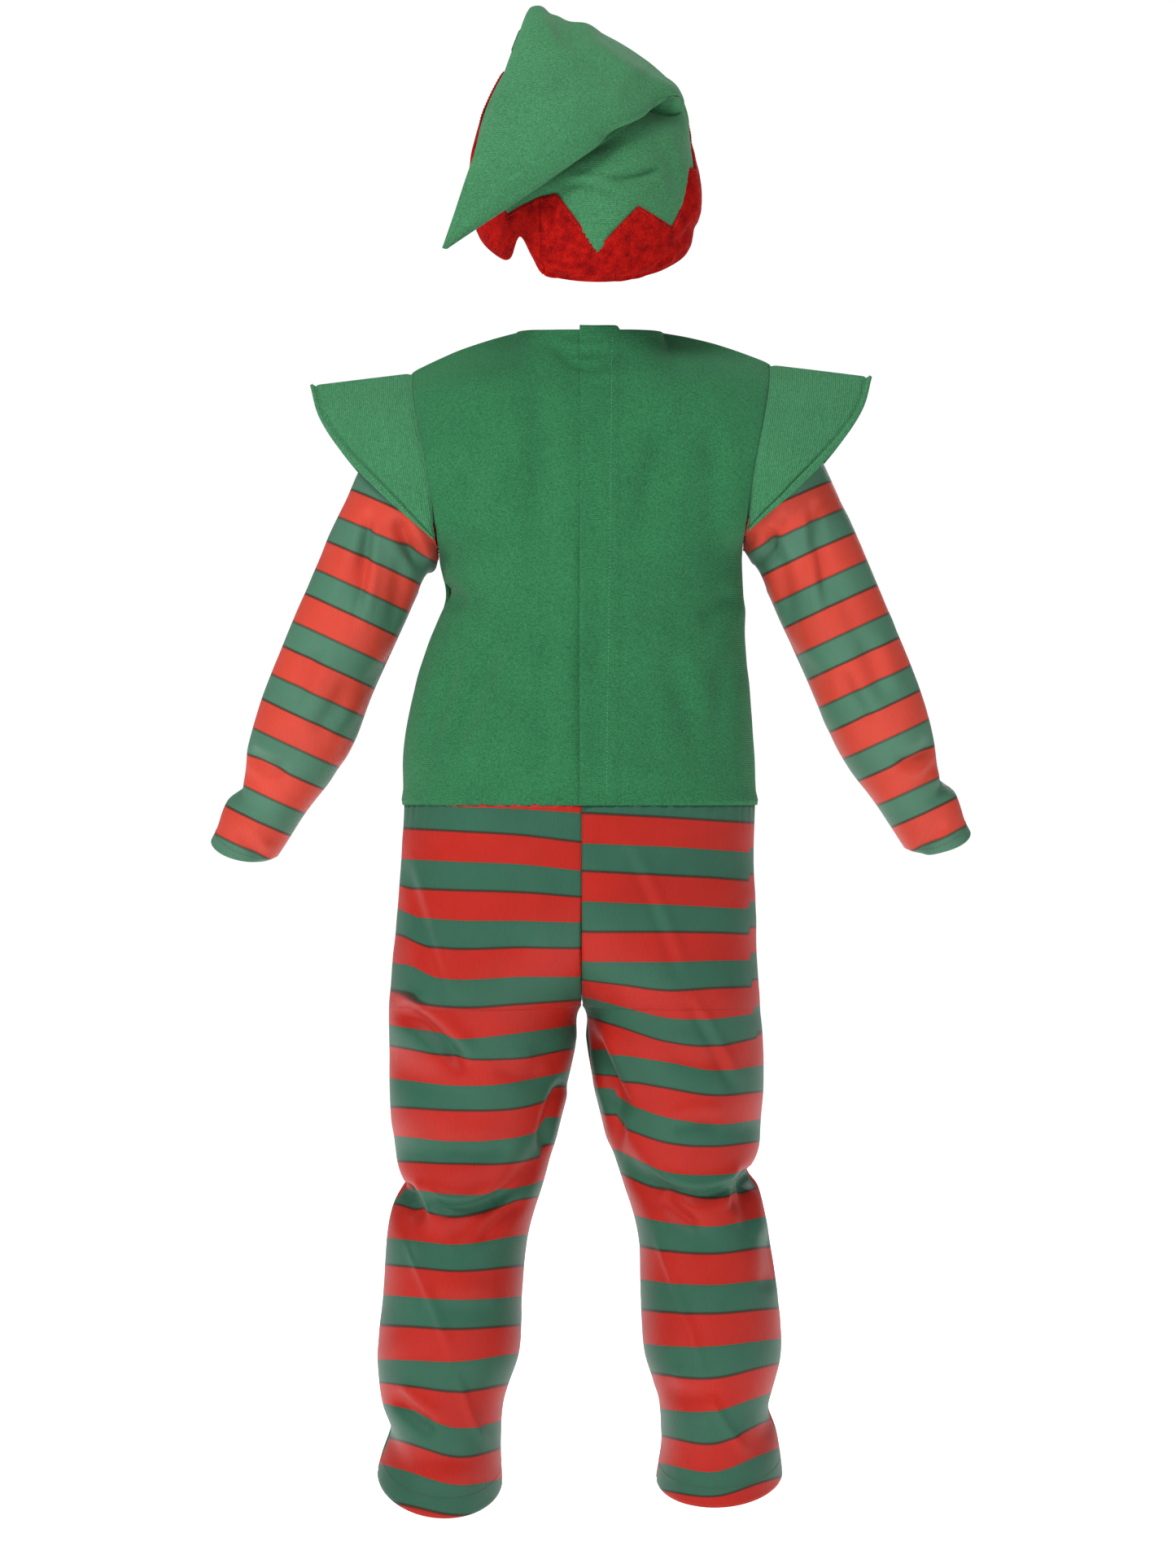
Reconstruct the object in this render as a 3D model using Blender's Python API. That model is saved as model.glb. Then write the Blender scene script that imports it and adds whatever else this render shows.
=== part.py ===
"""Child's elf costume, modelled as it hangs on its wearer: an all-in-one with a green bodice, pointed
shoulder wings, striped sleeves and trousers, and a long pointed hat with a zigzag brim.

Sizes are in millimetres and are turned to metres when a wall is made. +Z is up and the front faces -Y.
The origin is between the shoulders, at the height of the neckline. Every piece of cloth is a closed wall:
an outer sheet worked out by a function, and the same sheet moved inwards by the cloth's thickness.
"""

from functools import partial

import bmesh
import bpy
import numpy as np
from mathutils import Vector

MM = 0.001
SEAM = 0.3
HALF_SEAM = SEAM / 2

BODICE_WALL = 1.8
PLACKET_WALL = 1.3
WING_WALL = 2.0
SATIN_WALL = 1.5
HAT_WALL = 1.0
BRIM_WALL = 1.6

LEFT = 1
RIGHT = -1
BACK = 1
FRONT = -1

RIGHT_ARM_OUT = 14.0
RIGHT_ARM_UP = 6.5

# Each colour is linear red, green, blue; the last two numbers are roughness and metallic.
FINISHES = {
    "green_fleece": ((0.045, 0.190, 0.075), 0.95, 0.0),
    "striped_satin": ((0.480, 0.045, 0.030), 0.55, 0.0),
    "red_velvet": ((0.380, 0.010, 0.012), 0.80, 0.0),
}


def table(names, *rows):
    """A small table as a dictionary from column name to an array, one entry for each row."""
    return {name: np.array(column, float) for name, column in zip(names.split(), zip(*rows))}


def between(start, end, start_slope, end_slope, t):
    """The smooth curve from start to end that leaves and arrives at these slopes, read at t from 0 to 1."""
    return (
        (2 * t**3 - 3 * t**2 + 1) * start
        + (t**3 - 2 * t**2 + t) * start_slope
        + (3 * t**2 - 2 * t**3) * end
        + (t**3 - t**2) * end_slope
    )


def curve(knots, values, at):
    """A smooth curve through the values at the knots, read at any place. It runs on straight past its ends."""
    slopes = np.gradient(values, knots)
    at = np.asarray(at, float)
    i = np.clip(np.searchsorted(knots, at, side="right") - 1, 0, len(knots) - 2)
    step = knots[i + 1] - knots[i]
    t = (at - knots[i]) / step
    inside = np.clip(t, 0, 1)
    on_curve = between(values[i], values[i + 1], step * slopes[i], step * slopes[i + 1], inside)
    past_end = np.where(t > 1, slopes[i + 1], slopes[i])
    return on_curve + (t - inside) * step * past_end


def ease(t):
    """0 below 0, 1 above 1, and a soft step between."""
    t = np.clip(t, 0, 1)
    return t * t * (3 - 2 * t)


def mix(a, b, t):
    return a + (b - a) * t


FOLD_END_DEPTH = 0.5


def creases(folds, turn, height, mm_per_degree, mm_per_height=1.0):
    """How far the cloth sinks at each turn and height. A fold is a stroke from one place to another."""
    sunk = np.zeros(np.broadcast(turn, height).shape)
    for turn0, height0, turn1, height1, depth, width in zip(*folds.values()):
        run = np.array([(turn1 - turn0) * mm_per_degree, (height1 - height0) * mm_per_height])
        away_turn = (turn - turn0) * mm_per_degree
        away_height = (height - height0) * mm_per_height
        along = np.clip((away_turn * run[0] + away_height * run[1]) / (run @ run), 0, 1)
        gap = np.hypot(away_turn - along * run[0], away_height - along * run[1])
        deep = mix(FOLD_END_DEPTH, 1.0, np.sin(np.pi * along))
        sunk = sunk + depth * deep * np.exp(-((gap / width) ** 2))
    return sunk


# Trousers.
# Each row is a level ring of one leg: its outer edge, its inner edge, and how far it reaches back and forward.
# Above the crotch the inner edge lies past the middle, and the ring stops where it meets the other leg.
WAIST_Z = -364.0
CROTCH_Z = -519.0
HEM_Z = -876.0
LEG_COLUMNS = "z outer inner back front"
LEG = {
    LEFT: table(
        LEG_COLUMNS,
        (-364, 136, -130, 92, 95),
        (-410, 139, -124, 95, 94),
        (-450, 142, -98, 96, 90),
        (-470, 144, -70, 94, 87),
        (-490, 146, -38, 91, 85),
        (-505, 147, -14, 88, 83),
        (-519, 148, 0.3, 84, 81),
        (-545, 148, 4, 80, 78),
        (-600, 147, 16, 74, 74),
        (-650, 143, 28, 68, 68),
        (-690, 149, 40, 66, 64),
        (-745, 153, 46, 68, 58),
        (-785, 157, 48, 68, 56),
        (-822, 154, 60, 66, 56),
        (-845, 150, 62, 64, 58),
        (-876, 157, 61, 66, 62),
    ),
    RIGHT: table(
        LEG_COLUMNS,
        (-364, 133, -133, 92, 95),
        (-410, 132, -128, 95, 94),
        (-450, 134, -104, 96, 90),
        (-470, 134, -74, 94, 87),
        (-490, 135, -40, 91, 85),
        (-505, 136, -15, 88, 83),
        (-519, 137, 0.3, 84, 81),
        (-545, 139, 3, 80, 78),
        (-600, 139, 14, 74, 74),
        (-650, 136, 30, 68, 68),
        (-690, 143, 42, 66, 64),
        (-745, 151, 45, 68, 58),
        (-785, 153, 48, 68, 56),
        (-822, 146, 59, 66, 56),
        (-845, 150, 61, 64, 58),
        (-876, 154, 57, 66, 62),
    ),
}
# The hem dips behind, over the heel, and on the inner side.
HEM_DIP_BACK = {LEFT: 22.0, RIGHT: 15.0}
HEM_DIP_INNER = {LEFT: 8.0, RIGHT: 6.0}
HEM_DIP_STARTS = -800.0

LEG_MM_PER_DEGREE = 1.15
# Turn 0 is the outer side, 90 the back, 180 the inner side and -90 the front.
FOLD_COLUMNS = "turn0 height0 turn1 height1 depth width"
LEG_FOLDS = {
    LEFT: table(
        FOLD_COLUMNS,
        (-25, -646, 30, -664, 9, 11),
        (30, -664, 62, -688, 6, 12),
        (150, -628, 118, -668, 6, 14),
        (118, -668, 84, -692, 7, 15),
        (22, -560, 74, -580, 4, 15),
        (12, -626, 92, -622, 3, 13),
        (-20, -838, 60, -846, 4, 13),
        (-150, -650, -60, -664, 5, 14),
        (-140, -840, -50, -836, 4, 14),
    ),
    RIGHT: table(
        FOLD_COLUMNS,
        (-25, -638, 26, -652, 9, 11),
        (26, -652, 48, -684, 7, 12),
        (152, -632, 124, -664, 6, 14),
        (124, -664, 96, -686, 6, 14),
        (160, -546, 122, -598, 5, 14),
        (5, -606, 70, -608, 3, 13),
        (-20, -828, 50, -836, 4, 13),
        (-150, -645, -60, -660, 5, 14),
        (-140, -838, -50, -834, 4, 14),
    ),
}


def leg(side, turn, height):
    """A point on one leg of the trousers, as x, y, z arrays. turn is in degrees."""
    rows = LEG[side]
    outer, inner, back, front = (
        curve(-rows["z"], rows[name], -height) for name in ("outer", "inner", "back", "front")
    )
    angle = np.radians(turn)
    reach = np.where(np.sin(angle) >= 0, back, front)
    sunk = creases(LEG_FOLDS[side], turn, height, LEG_MM_PER_DEGREE)
    across = (outer - inner) / 2 - sunk
    x = (outer + inner) / 2 + across * np.cos(angle)
    y = (reach - sunk) * np.sin(angle)
    near_hem = ease((HEM_DIP_STARTS - height) / (HEM_DIP_STARTS - HEM_Z))
    dip = HEM_DIP_BACK[side] * np.sin(angle) + HEM_DIP_INNER[side] * (1 - np.cos(angle)) / 2
    return np.stack([side * x, y, height - near_hem * dip], -1)


def last_turn(side, height):
    """The turn at which a ring meets the middle of the seat: 180 below the crotch, less above it."""
    rows = LEG[side]
    outer, inner = (curve(-rows["z"], rows[name], -height) for name in ("outer", "inner"))
    centre, across = (outer + inner) / 2, (outer - inner) / 2
    return np.degrees(np.arccos(np.clip(-(centre - HALF_SEAM) / across, -1, 1)))


# Bodice.
# Each row is a line across one face of the bodice, from the middle to the armhole or side seam.
# turn is how far round the line has curved when it ends: 90 at a side seam, less at an armhole.
BODICE_COLUMNS = "row mid_y mid_z left_x right_x edge_y left_z right_z turn"
BODICE = {
    BACK: table(
        BODICE_COLUMNS,
        (1, 63, -42, 129.5, 143.5, 24, -52, -45.5, 55),
        (2, 77, -88, 122, 136, 50, -92, -85.5, 48),
        (3, 83, -128, 115, 129, 58, -128, -121.5, 45),
        (4, 84, -158, 111, 125, 44, -160, -153.5, 62),
        (5, 83, -182, 109, 123, 0, -180, -173.5, 90),
        (6, 81, -208, 105, 124, 0, -207, -205, 90),
        (7, 82, -242, 118, 125.5, 0, -241, -241, 90),
        (8, 85, -280, 129, 129, 0, -278, -280, 90),
        (9, 89, -325, 137, 132.5, 0, -322, -326, 90),
        (10, 92, -363.7, 137, 134, 0, -363.7, -363.7, 90),
    ),
    FRONT: table(
        BODICE_COLUMNS,
        (1, 64, -66, 129.5, 143.5, 24, -52, -45.5, 55),
        (2, 75, -98, 122, 136, 50, -92, -85.5, 48),
        (3, 82, -130, 115, 129, 54, -128, -121.5, 48),
        (4, 85, -158, 111, 125, 42, -160, -153.5, 62),
        (5, 87, -182, 109, 123, 0, -180, -173.5, 90),
        (6, 89, -208, 105, 124, 0, -207, -205, 90),
        (7, 92, -242, 118, 125.5, 0, -241, -241, 90),
        (8, 96, -280, 129, 129, 0, -278, -280, 90),
        (9, 98, -325, 137, 132.5, 0, -322, -326, 90),
        (10, 95, -363.7, 137, 134, 0, -363.7, -363.7, 90),
    ),
}
BODICE_ROWS = 10
NECK_MIDDLE_X = -6.0
NECK_HALF_WIDTH = 56.0
NECK_DEPTH = {BACK: 50.0, FRONT: 52.0}
NECK_Z = {BACK: -5.0, FRONT: -40.0}
NECK_SIDE_Z = -2.5
SHOULDER_TIP = {LEFT: (131.0, -33.0), RIGHT: (145.0, -26.5)}
SHOULDER_RISE = 3.0
NECK_SHARE = 0.42

PLACKET_RIGHT_X = -26.5
PLACKET_LEFT_X = 1.5
PLACKET_LIFT = 1.9
PLACKET_LAP = 1.5
PLACKET_TAB = 3.0
PLACKET_TAB_ROWS = 0.6
BODICE_HALF_WIDTH = 120.0


def neck_and_shoulder(across, face):
    """The bodice's top edge: round the neck, then along the shoulder seam to its tip."""
    side = np.where(across >= 0, LEFT, RIGHT)
    share = np.abs(across)
    round_neck = np.clip(share / NECK_SHARE, 0, 1) * np.pi / 2
    along = np.maximum(share - NECK_SHARE, 0) / (1 - NECK_SHARE)
    tip_x = np.where(side == LEFT, SHOULDER_TIP[LEFT][0], SHOULDER_TIP[RIGHT][0])
    tip_z = np.where(side == LEFT, SHOULDER_TIP[LEFT][1], SHOULDER_TIP[RIGHT][1])
    neck_x = NECK_MIDDLE_X + side * NECK_HALF_WIDTH * np.sin(round_neck)
    x = mix(neck_x, side * tip_x, along)
    y = face * (NECK_DEPTH[face] * np.cos(round_neck) + HALF_SEAM)
    z_neck = mix(NECK_Z[face], NECK_SIDE_Z, np.sin(round_neck) ** 2)
    z = mix(z_neck, tip_z, along) + SHOULDER_RISE * np.sin(np.pi * along)
    return x, y, z


def bodice_line(across, face, index):
    """Points along one row of the bodice table. across runs from -1, the right edge, to 1, the left edge."""
    rows = {name: column[index] for name, column in BODICE[face].items()}
    on_left = across >= 0
    edge_x = np.where(on_left, rows["left_x"], -rows["right_x"])
    edge_z = np.where(on_left, rows["left_z"], rows["right_z"])
    middle_x = NECK_MIDDLE_X * max(0.0, 1 - rows["row"] / BODICE_ROWS)
    end = np.radians(rows["turn"])
    swing = np.abs(across) * end
    x = middle_x + (edge_x - middle_x) * np.sin(swing) / np.sin(end)
    bow = (np.cos(swing) - np.cos(end)) / (1 - np.cos(end))
    y = face * (rows["edge_y"] + HALF_SEAM + (rows["mid_y"] - rows["edge_y"]) * bow)
    z = mix(rows["mid_z"], edge_z, across**2)
    return x, y, z


def bodice(face, across, row):
    """A point on the front or back of the bodice. row runs from 0, the neck, to 10, the waist."""
    across, row = np.broadcast_arrays(np.asarray(across, float), np.asarray(row, float))
    lines = [neck_and_shoulder(across, face)]
    lines += [bodice_line(across, face, i) for i in range(BODICE_ROWS)]
    points = np.array(lines)
    slopes = np.gradient(points, axis=0)
    i = np.clip(row.astype(int), 0, len(lines) - 2)
    place = tuple(np.indices(row.shape))
    made = [
        between(
            points[(i, axis) + place],
            points[(i + 1, axis) + place],
            slopes[(i, axis) + place],
            slopes[(i + 1, axis) + place],
            row - i,
        )
        for axis in range(3)
    ]
    return np.stack(made, -1)


HALVINGS = 30


def across_at(face, x, row):
    """The across value at which the bodice is at this x, found by halving."""
    row = np.asarray(row, float)
    low, high = np.full(row.shape, -1.0), np.full(row.shape, 1.0)
    for _ in range(HALVINGS):
        middle = (low + high) / 2
        below = bodice(face, middle, row)[..., 0] < x
        low, high = np.where(below, middle, low), np.where(below, high, middle)
    return (low + high) / 2


# Arms.
# A rib is a place on the armhole seam. turn is the place on the sleeve's head that meets it.
ARMHOLE = table("rib turn", (0, 0), (1, 28), (2, 62), (3, 90), (4, 125), (5, 180))


def armhole(side, rib):
    """A point on the seam round the arm. rib is 0 at the shoulder, 5 under the arm and negative in front."""
    rib = np.asarray(rib, float)
    behind = bodice(BACK, side, np.abs(rib))
    in_front = bodice(FRONT, side, np.abs(rib))
    return np.where(rib[..., None] >= 0, behind, in_front)


def arm_place(side, x, y, z):
    """Moves points worked out for the left arm to either arm."""
    out, up = (RIGHT_ARM_OUT, RIGHT_ARM_UP) if side == RIGHT else (0.0, 0.0)
    return np.stack([side * (x + out), y, z + up], -1)


# Shoulder wings.
# Each row is a rib of the back half, from the armhole seam to this end on the wing's free edge.
WING = table(
    "rib x y z",
    (0, 209, 0, -42),
    (1, 200, 24, -70),
    (2, 179, 44, -101),
    (3, 149, 55, -132),
    (4, 112, 47, -163),
)
WING_RIBS = 4
WING_BULGE = 2.0
WING_SEAM_GAP = 0.6


def wing(side, rib, out):
    """A point on a wing. rib runs from -4, in front, over the ridge to 4; out runs from the seam to the edge."""
    rib, out = np.broadcast_arrays(np.asarray(rib, float), np.asarray(out, float))
    x, y, z = (curve(WING["rib"], WING[name], np.abs(rib)) for name in "xyz")
    edge = arm_place(side, x, np.sign(rib) * y, z)
    seam = armhole(side, rib)
    seam[..., 0] += side * WING_SEAM_GAP
    point = mix(seam, edge, out[..., None])
    point[..., 1] += WING_BULGE * np.sin(np.pi * out) * rib / WING_RIBS
    return point


# Sleeves.
# Each row is a ring round the arm: its outer and inner points, its middle's y, its half depth, and how far
# the back of the ring slips down the arm, because the forearm reaches forward.
SLEEVE = table(
    "row outer_x outer_z inner_x inner_z mid_y depth slip",
    (0, 129, -39, 112.0, -177, 0, 53, 0),
    (1, 147, -56, 114, -182, 0, 51, 0),
    (2, 165, -92, 116.5, -186, 0, 48, 0),
    (3, 179, -126, 120, -191, -1, 45, 0),
    (4, 196, -162, 127, -205, -2, 42, 0),
    (5, 213, -202, 141, -236, -4, 41, 1),
    (6, 231, -244, 159, -275, -8, 40, 3),
    (7, 247, -284, 176, -315, -13, 39, 4),
    (8, 257, -318, 193, -345, -19, 34, 5),
    (9, 262, -346, 211, -368, -25, 29, 6),
    (10, 275, -362, 224, -387, -30, 28, 7),
    (11, 282, -381, 234, -402, -35, 27, 9),
    (12, 287, -391, 237, -404, -38, 27, 11),
)
SLEEVE_ROWS = 12
HEAD_ROWS = 3.0
HEAD_MIDDLE_Z = -107.0
HEAD_INSET = 2.9
HEAD_OUT = 0.9
ARM_DOWN = (0.42, -0.907)
SLEEVE_MM_PER_DEGREE = 0.7
SLEEVE_MM_PER_ROW = 34.0
# Turn 0 is the outer side, 90 the back and -90 the front; heights are in rows.
SLEEVE_FOLDS = table(
    FOLD_COLUMNS,
    (80, 3.0, 78, 6.0, 3, 8),
    (120, 3.4, 150, 5.0, 4, 9),
    (-15, 9.3, 60, 9.6, 4, 11),
    (170, 5.6, 130, 6.4, 3, 12),
    (-100, 3.2, -95, 6.0, 3, 9),
    (-150, 9.0, -70, 9.6, 3, 11),
)


def sleeve(side, turn, row):
    """A point on a sleeve. row runs from 0, the armhole, to 12, the hem."""
    turn, row = np.broadcast_arrays(np.asarray(turn, float), np.asarray(row, float))
    read = {name: curve(SLEEVE["row"], column, row) for name, column in SLEEVE.items()}
    angle = np.radians(turn)
    sunk = creases(SLEEVE_FOLDS, turn, row, SLEEVE_MM_PER_DEGREE, SLEEVE_MM_PER_ROW)
    half_x = (read["outer_x"] - read["inner_x"]) / 2
    half_z = (read["outer_z"] - read["inner_z"]) / 2
    shrink = 1 - sunk / np.hypot(half_x, half_z)
    x = (read["outer_x"] + read["inner_x"]) / 2 + half_x * np.cos(angle) * shrink
    z = (read["outer_z"] + read["inner_z"]) / 2 + half_z * np.cos(angle) * shrink
    slip = read["slip"] * np.sin(angle)
    y = read["mid_y"] + (read["depth"] - sunk) * np.sin(angle)
    arm = arm_place(side, x + slip * ARM_DOWN[0], y, z + slip * ARM_DOWN[1])
    rib = np.sign(turn) * curve(ARMHOLE["turn"], ARMHOLE["rib"], np.abs(turn))
    head = armhole(side, rib)
    head_z = HEAD_MIDDLE_Z + (RIGHT_ARM_UP if side == RIGHT else 0.0)
    inset = 1 - HEAD_INSET / np.hypot(head[..., 1], head[..., 2] - head_z)
    head[..., 0] += side * HEAD_OUT
    head[..., 1] *= inset
    head[..., 2] = head_z + (head[..., 2] - head_z) * inset
    return mix(head, arm, ease(row / HEAD_ROWS)[..., None])


# Hat.
# Each row is a ring of the long cone, from the rim, up round the head, over the crest and down to the tip.
# It is given by its left and right seam points and the middles of its front and back panels.
HAT = table(
    "row left_x left_y left_z right_x right_y right_z back_y back_z front_y front_z",
    (0, 80, 0, 80, -83, 0, 69, 88, 27, -92, 135),
    (1, 85.5, -2, 118, -90, 0, 100, 93, 80, -89, 178),
    (2, 76, -4, 160, -84, 0, 138, 91, 118, -66, 208),
    (3, 56, -2, 201, -82, 3, 158, 80, 148, -34, 225),
    (4, 46, 4, 232, -79, 8, 168, 57, 172, -2, 231),
    (5, 41, 16, 241, -77, 20, 173, 32, 177, 26, 224),
    (6, 46, 44, 224, -66, 48, 170, 49, 198, 68, 204),
    (7, 63.5, 82, 170, -22, 93, 134, 86, 152, 104, 156),
    (8, 85, 97, 108, 42, 103, 88, 95, 98, 109, 100),
    (9, 104.5, 90, 52, 100.5, 91, 51, 88, 51.5, 93, 51.5),
)
HAT_ROWS = 9
# The brim's lower edge rises behind the left ear. Turn 0 is the left side, 90 the back, 270 the front.
BRIM_NOTCH_TURN = 56.0
BRIM_NOTCH_WIDTH = 6.5
BRIM_NOTCH_ROWS = 0.45
CROWN_ABOVE_BRIM_EDGE = 0.22
BRIM_STANDS_OFF = 3.0
BRIM_HALF_GAP_TURN = 0.12
CROWN_HALF_GAP_TURN = 0.25
# The zigzag's corners, from the brim's seam behind the left ear round to the same seam.
ZIGZAG = table(
    "turn row",
    (68, 1.12),
    (76, 1.22),
    (96.5, 0.44),
    (117, 1.12),
    (139, 0.72),
    (160, 1.78),
    (172, 1.66),
    (198, 2.55),
    (222, 1.45),
    (246, 1.98),
    (270, 0.85),
    (294, 1.98),
    (318, 1.50),
    (341, 2.60),
    (368, 1.10),
    (390, 1.70),
    (408, 0.72),
    (428, 1.12),
)


def hat(turn, row):
    """A point on the cone. turn 0 is the left seam, 90 the back, 180 the right seam, 270 the front."""
    turn, row = np.broadcast_arrays(np.asarray(turn, float), np.asarray(row, float))
    read = {name: curve(HAT["row"], column, row) for name, column in HAT.items()}
    left = np.stack([read["left_x"], read["left_y"], read["left_z"]])
    right = np.stack([read["right_x"], read["right_y"], read["right_z"]])
    middle, half = (left + right) / 2, (left - right) / 2
    angle = np.radians(turn)
    at_back = np.sin(angle) >= 0
    bow_y = np.where(at_back, read["back_y"], read["front_y"]) - middle[1]
    bow_z = np.where(at_back, read["back_z"], read["front_z"]) - middle[2]
    size = np.abs(np.sin(angle))
    point = middle + half * np.cos(angle)
    point[1] += bow_y * size
    point[2] += bow_z * size
    return np.stack(list(point), -1)


def brim_edge_row(turn):
    """The row of the brim's lower edge, which rises in a notch behind the left ear."""
    turn = np.mod(np.asarray(turn, float), 360)
    return BRIM_NOTCH_ROWS * np.exp(-(((turn - BRIM_NOTCH_TURN) / BRIM_NOTCH_WIDTH) ** 2))


# Turning sheets into walls.
def outward(surface, u, v, u_step, v_step):
    """The sheet's own unit normals, from how its points move when u and v change a little."""
    along_u = surface(u + u_step, v) - surface(u - u_step, v)
    along_v = surface(u, v + v_step) - surface(u, v - v_step)
    normal = np.cross(along_u, along_v)
    return normal / np.linalg.norm(normal, axis=-1, keepdims=True)


def finish(name):
    """The material for one kind of cloth, made once."""
    found = bpy.data.materials.get(name)
    if found:
        return found
    colour, roughness, metallic = FINISHES[name]
    made = bpy.data.materials.new(name)
    made.use_nodes = True
    shader = made.node_tree.nodes["Principled BSDF"]
    shader.inputs["Base Color"].default_value = (*colour, 1.0)
    shader.inputs["Roughness"].default_value = roughness
    shader.inputs["Metallic"].default_value = metallic
    made.diffuse_color = (*colour, 1.0)
    return made


EDGE_ANGLE = np.radians(50)


def wall(name, surface, u, v, facing, thickness, steps, cloth, collection, keep=None, ring=False, seam_u=None):
    """One piece of cloth as a closed solid: the sheet on the u, v grid, and its copy one thickness inside.

    keep holds the sheets on the piece's own side of a seam. A ring is joined to itself along u. seam_u is the
    same grid without the gaps at the seams, where two pieces then share their normals.
    """
    u, v = np.broadcast_arrays(np.asarray(u, float), np.asarray(v, float))
    normal_u = u if seam_u is None else np.broadcast_to(seam_u, u.shape)
    outer = surface(u, v)
    inner = outer - facing * thickness * outward(surface, normal_u, v, *steps)
    if keep:
        outer, inner = keep(outer), keep(inner)
    columns, rows = u.shape
    mesh = bmesh.new()
    sheets = [
        [[mesh.verts.new(Vector(points[i, j]) * MM) for j in range(rows)] for i in range(columns)]
        for points in (outer, inner)
    ]
    spans = [(i, (i + 1) % columns) for i in range(columns if ring else columns - 1)]
    for sheet in sheets:
        for i, k in spans:
            for j in range(rows - 1):
                mesh.faces.new((sheet[i][j], sheet[i][j + 1], sheet[k][j + 1], sheet[k][j]))
    rims = [((i, j), (k, j)) for i, k in spans for j in (0, rows - 1)]
    if not ring:
        rims += [((i, j), (i, j + 1)) for i in (0, columns - 1) for j in range(rows - 1)]
    for (i0, j0), (i1, j1) in rims:
        mesh.faces.new((sheets[0][i0][j0], sheets[0][i1][j1], sheets[1][i1][j1], sheets[1][i0][j0]))
    bmesh.ops.recalc_face_normals(mesh, faces=mesh.faces)
    data = bpy.data.meshes.new(name)
    mesh.to_mesh(data)
    mesh.free()
    data.shade_smooth()
    data.set_sharp_from_angle(angle=EDGE_ANGLE)
    data.materials.append(finish(cloth))
    made = bpy.data.objects.new(name, data)
    collection.objects.link(made)
    return made


def grid(u_values, v_values):
    return np.meshgrid(np.asarray(u_values, float), np.asarray(v_values, float), indexing="ij")


# How far u and v move when a sheet's normals are measured.
LEG_STEPS = (0.3, 0.4)
BODICE_STEPS = (0.004, 0.02)
WING_STEPS = (0.02, 0.01)
SLEEVE_STEPS = (0.4, 0.02)
HAT_STEPS = (0.4, 0.015)

# How many lines of points each piece has round its wearer and along its length.
TROUSER_LINES = 11
SEAT_ROWS = 9
SEAT_CROWDS_TO_CROTCH = 1.4
LEG_ROWS = 18
FRONT_LINES = 19
BACK_LEFT_LINES = 9
BACK_RIGHT_LINES = 10
UNDERLAP_LINES = 3
PLACKET_LINES = 3
BODICE_TOP_ROWS = (0.0, 0.35)
BODICE_REST = (0.8, 13)
WING_LINES = 19
WING_ROWS = 6
SLEEVE_LINES = 18
SLEEVE_ROW_COUNT = 17
CROWN_LINES = 13
CROWN_ROWS = 19
BRIM_LINES_PER_EDGE = 2
BRIM_ROWS = 9


def own_side(face, points):
    """Holds points behind or in front of the shoulder and side seams."""
    points[..., 1] = face * np.maximum(face * points[..., 1], HALF_SEAM)
    return points


def make_trousers(collection):
    """Four panels: a back and a front for each leg, from the side seam to the seat, front or inseam."""
    gap_turn = HALF_SEAM / LEG_MM_PER_DEGREE
    seat = CROTCH_Z + (WAIST_Z - SEAM - CROTCH_Z) * np.linspace(1, 0, SEAT_ROWS) ** SEAT_CROWDS_TO_CROTCH
    heights = np.concatenate([seat, np.linspace(CROTCH_Z, HEM_Z, LEG_ROWS)[1:]])
    share, height = grid(np.linspace(0, 1, TROUSER_LINES), heights)
    for side, side_name in ((LEFT, "left"), (RIGHT, "right")):
        end = last_turn(side, height) - gap_turn
        turn = gap_turn + (end - gap_turn) * share
        for face, face_name in ((BACK, "back"), (FRONT, "front")):
            name = f"trouser_{face_name}_{side_name}"
            panel = partial(leg, side)
            wall(name, panel, face * turn, height, side, SATIN_WALL, LEG_STEPS, "striped_satin", collection)


def placket_sheet(across, row):
    """The placket lies on the left back panel, and its tab stands a little above the neckline."""
    back = partial(bodice, BACK)
    point = back(across, row) + PLACKET_LIFT * outward(back, across, row, *BODICE_STEPS)
    point[..., 2] += PLACKET_TAB * np.clip(1 - row / PLACKET_TAB_ROWS, 0, 1)
    return point


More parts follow.
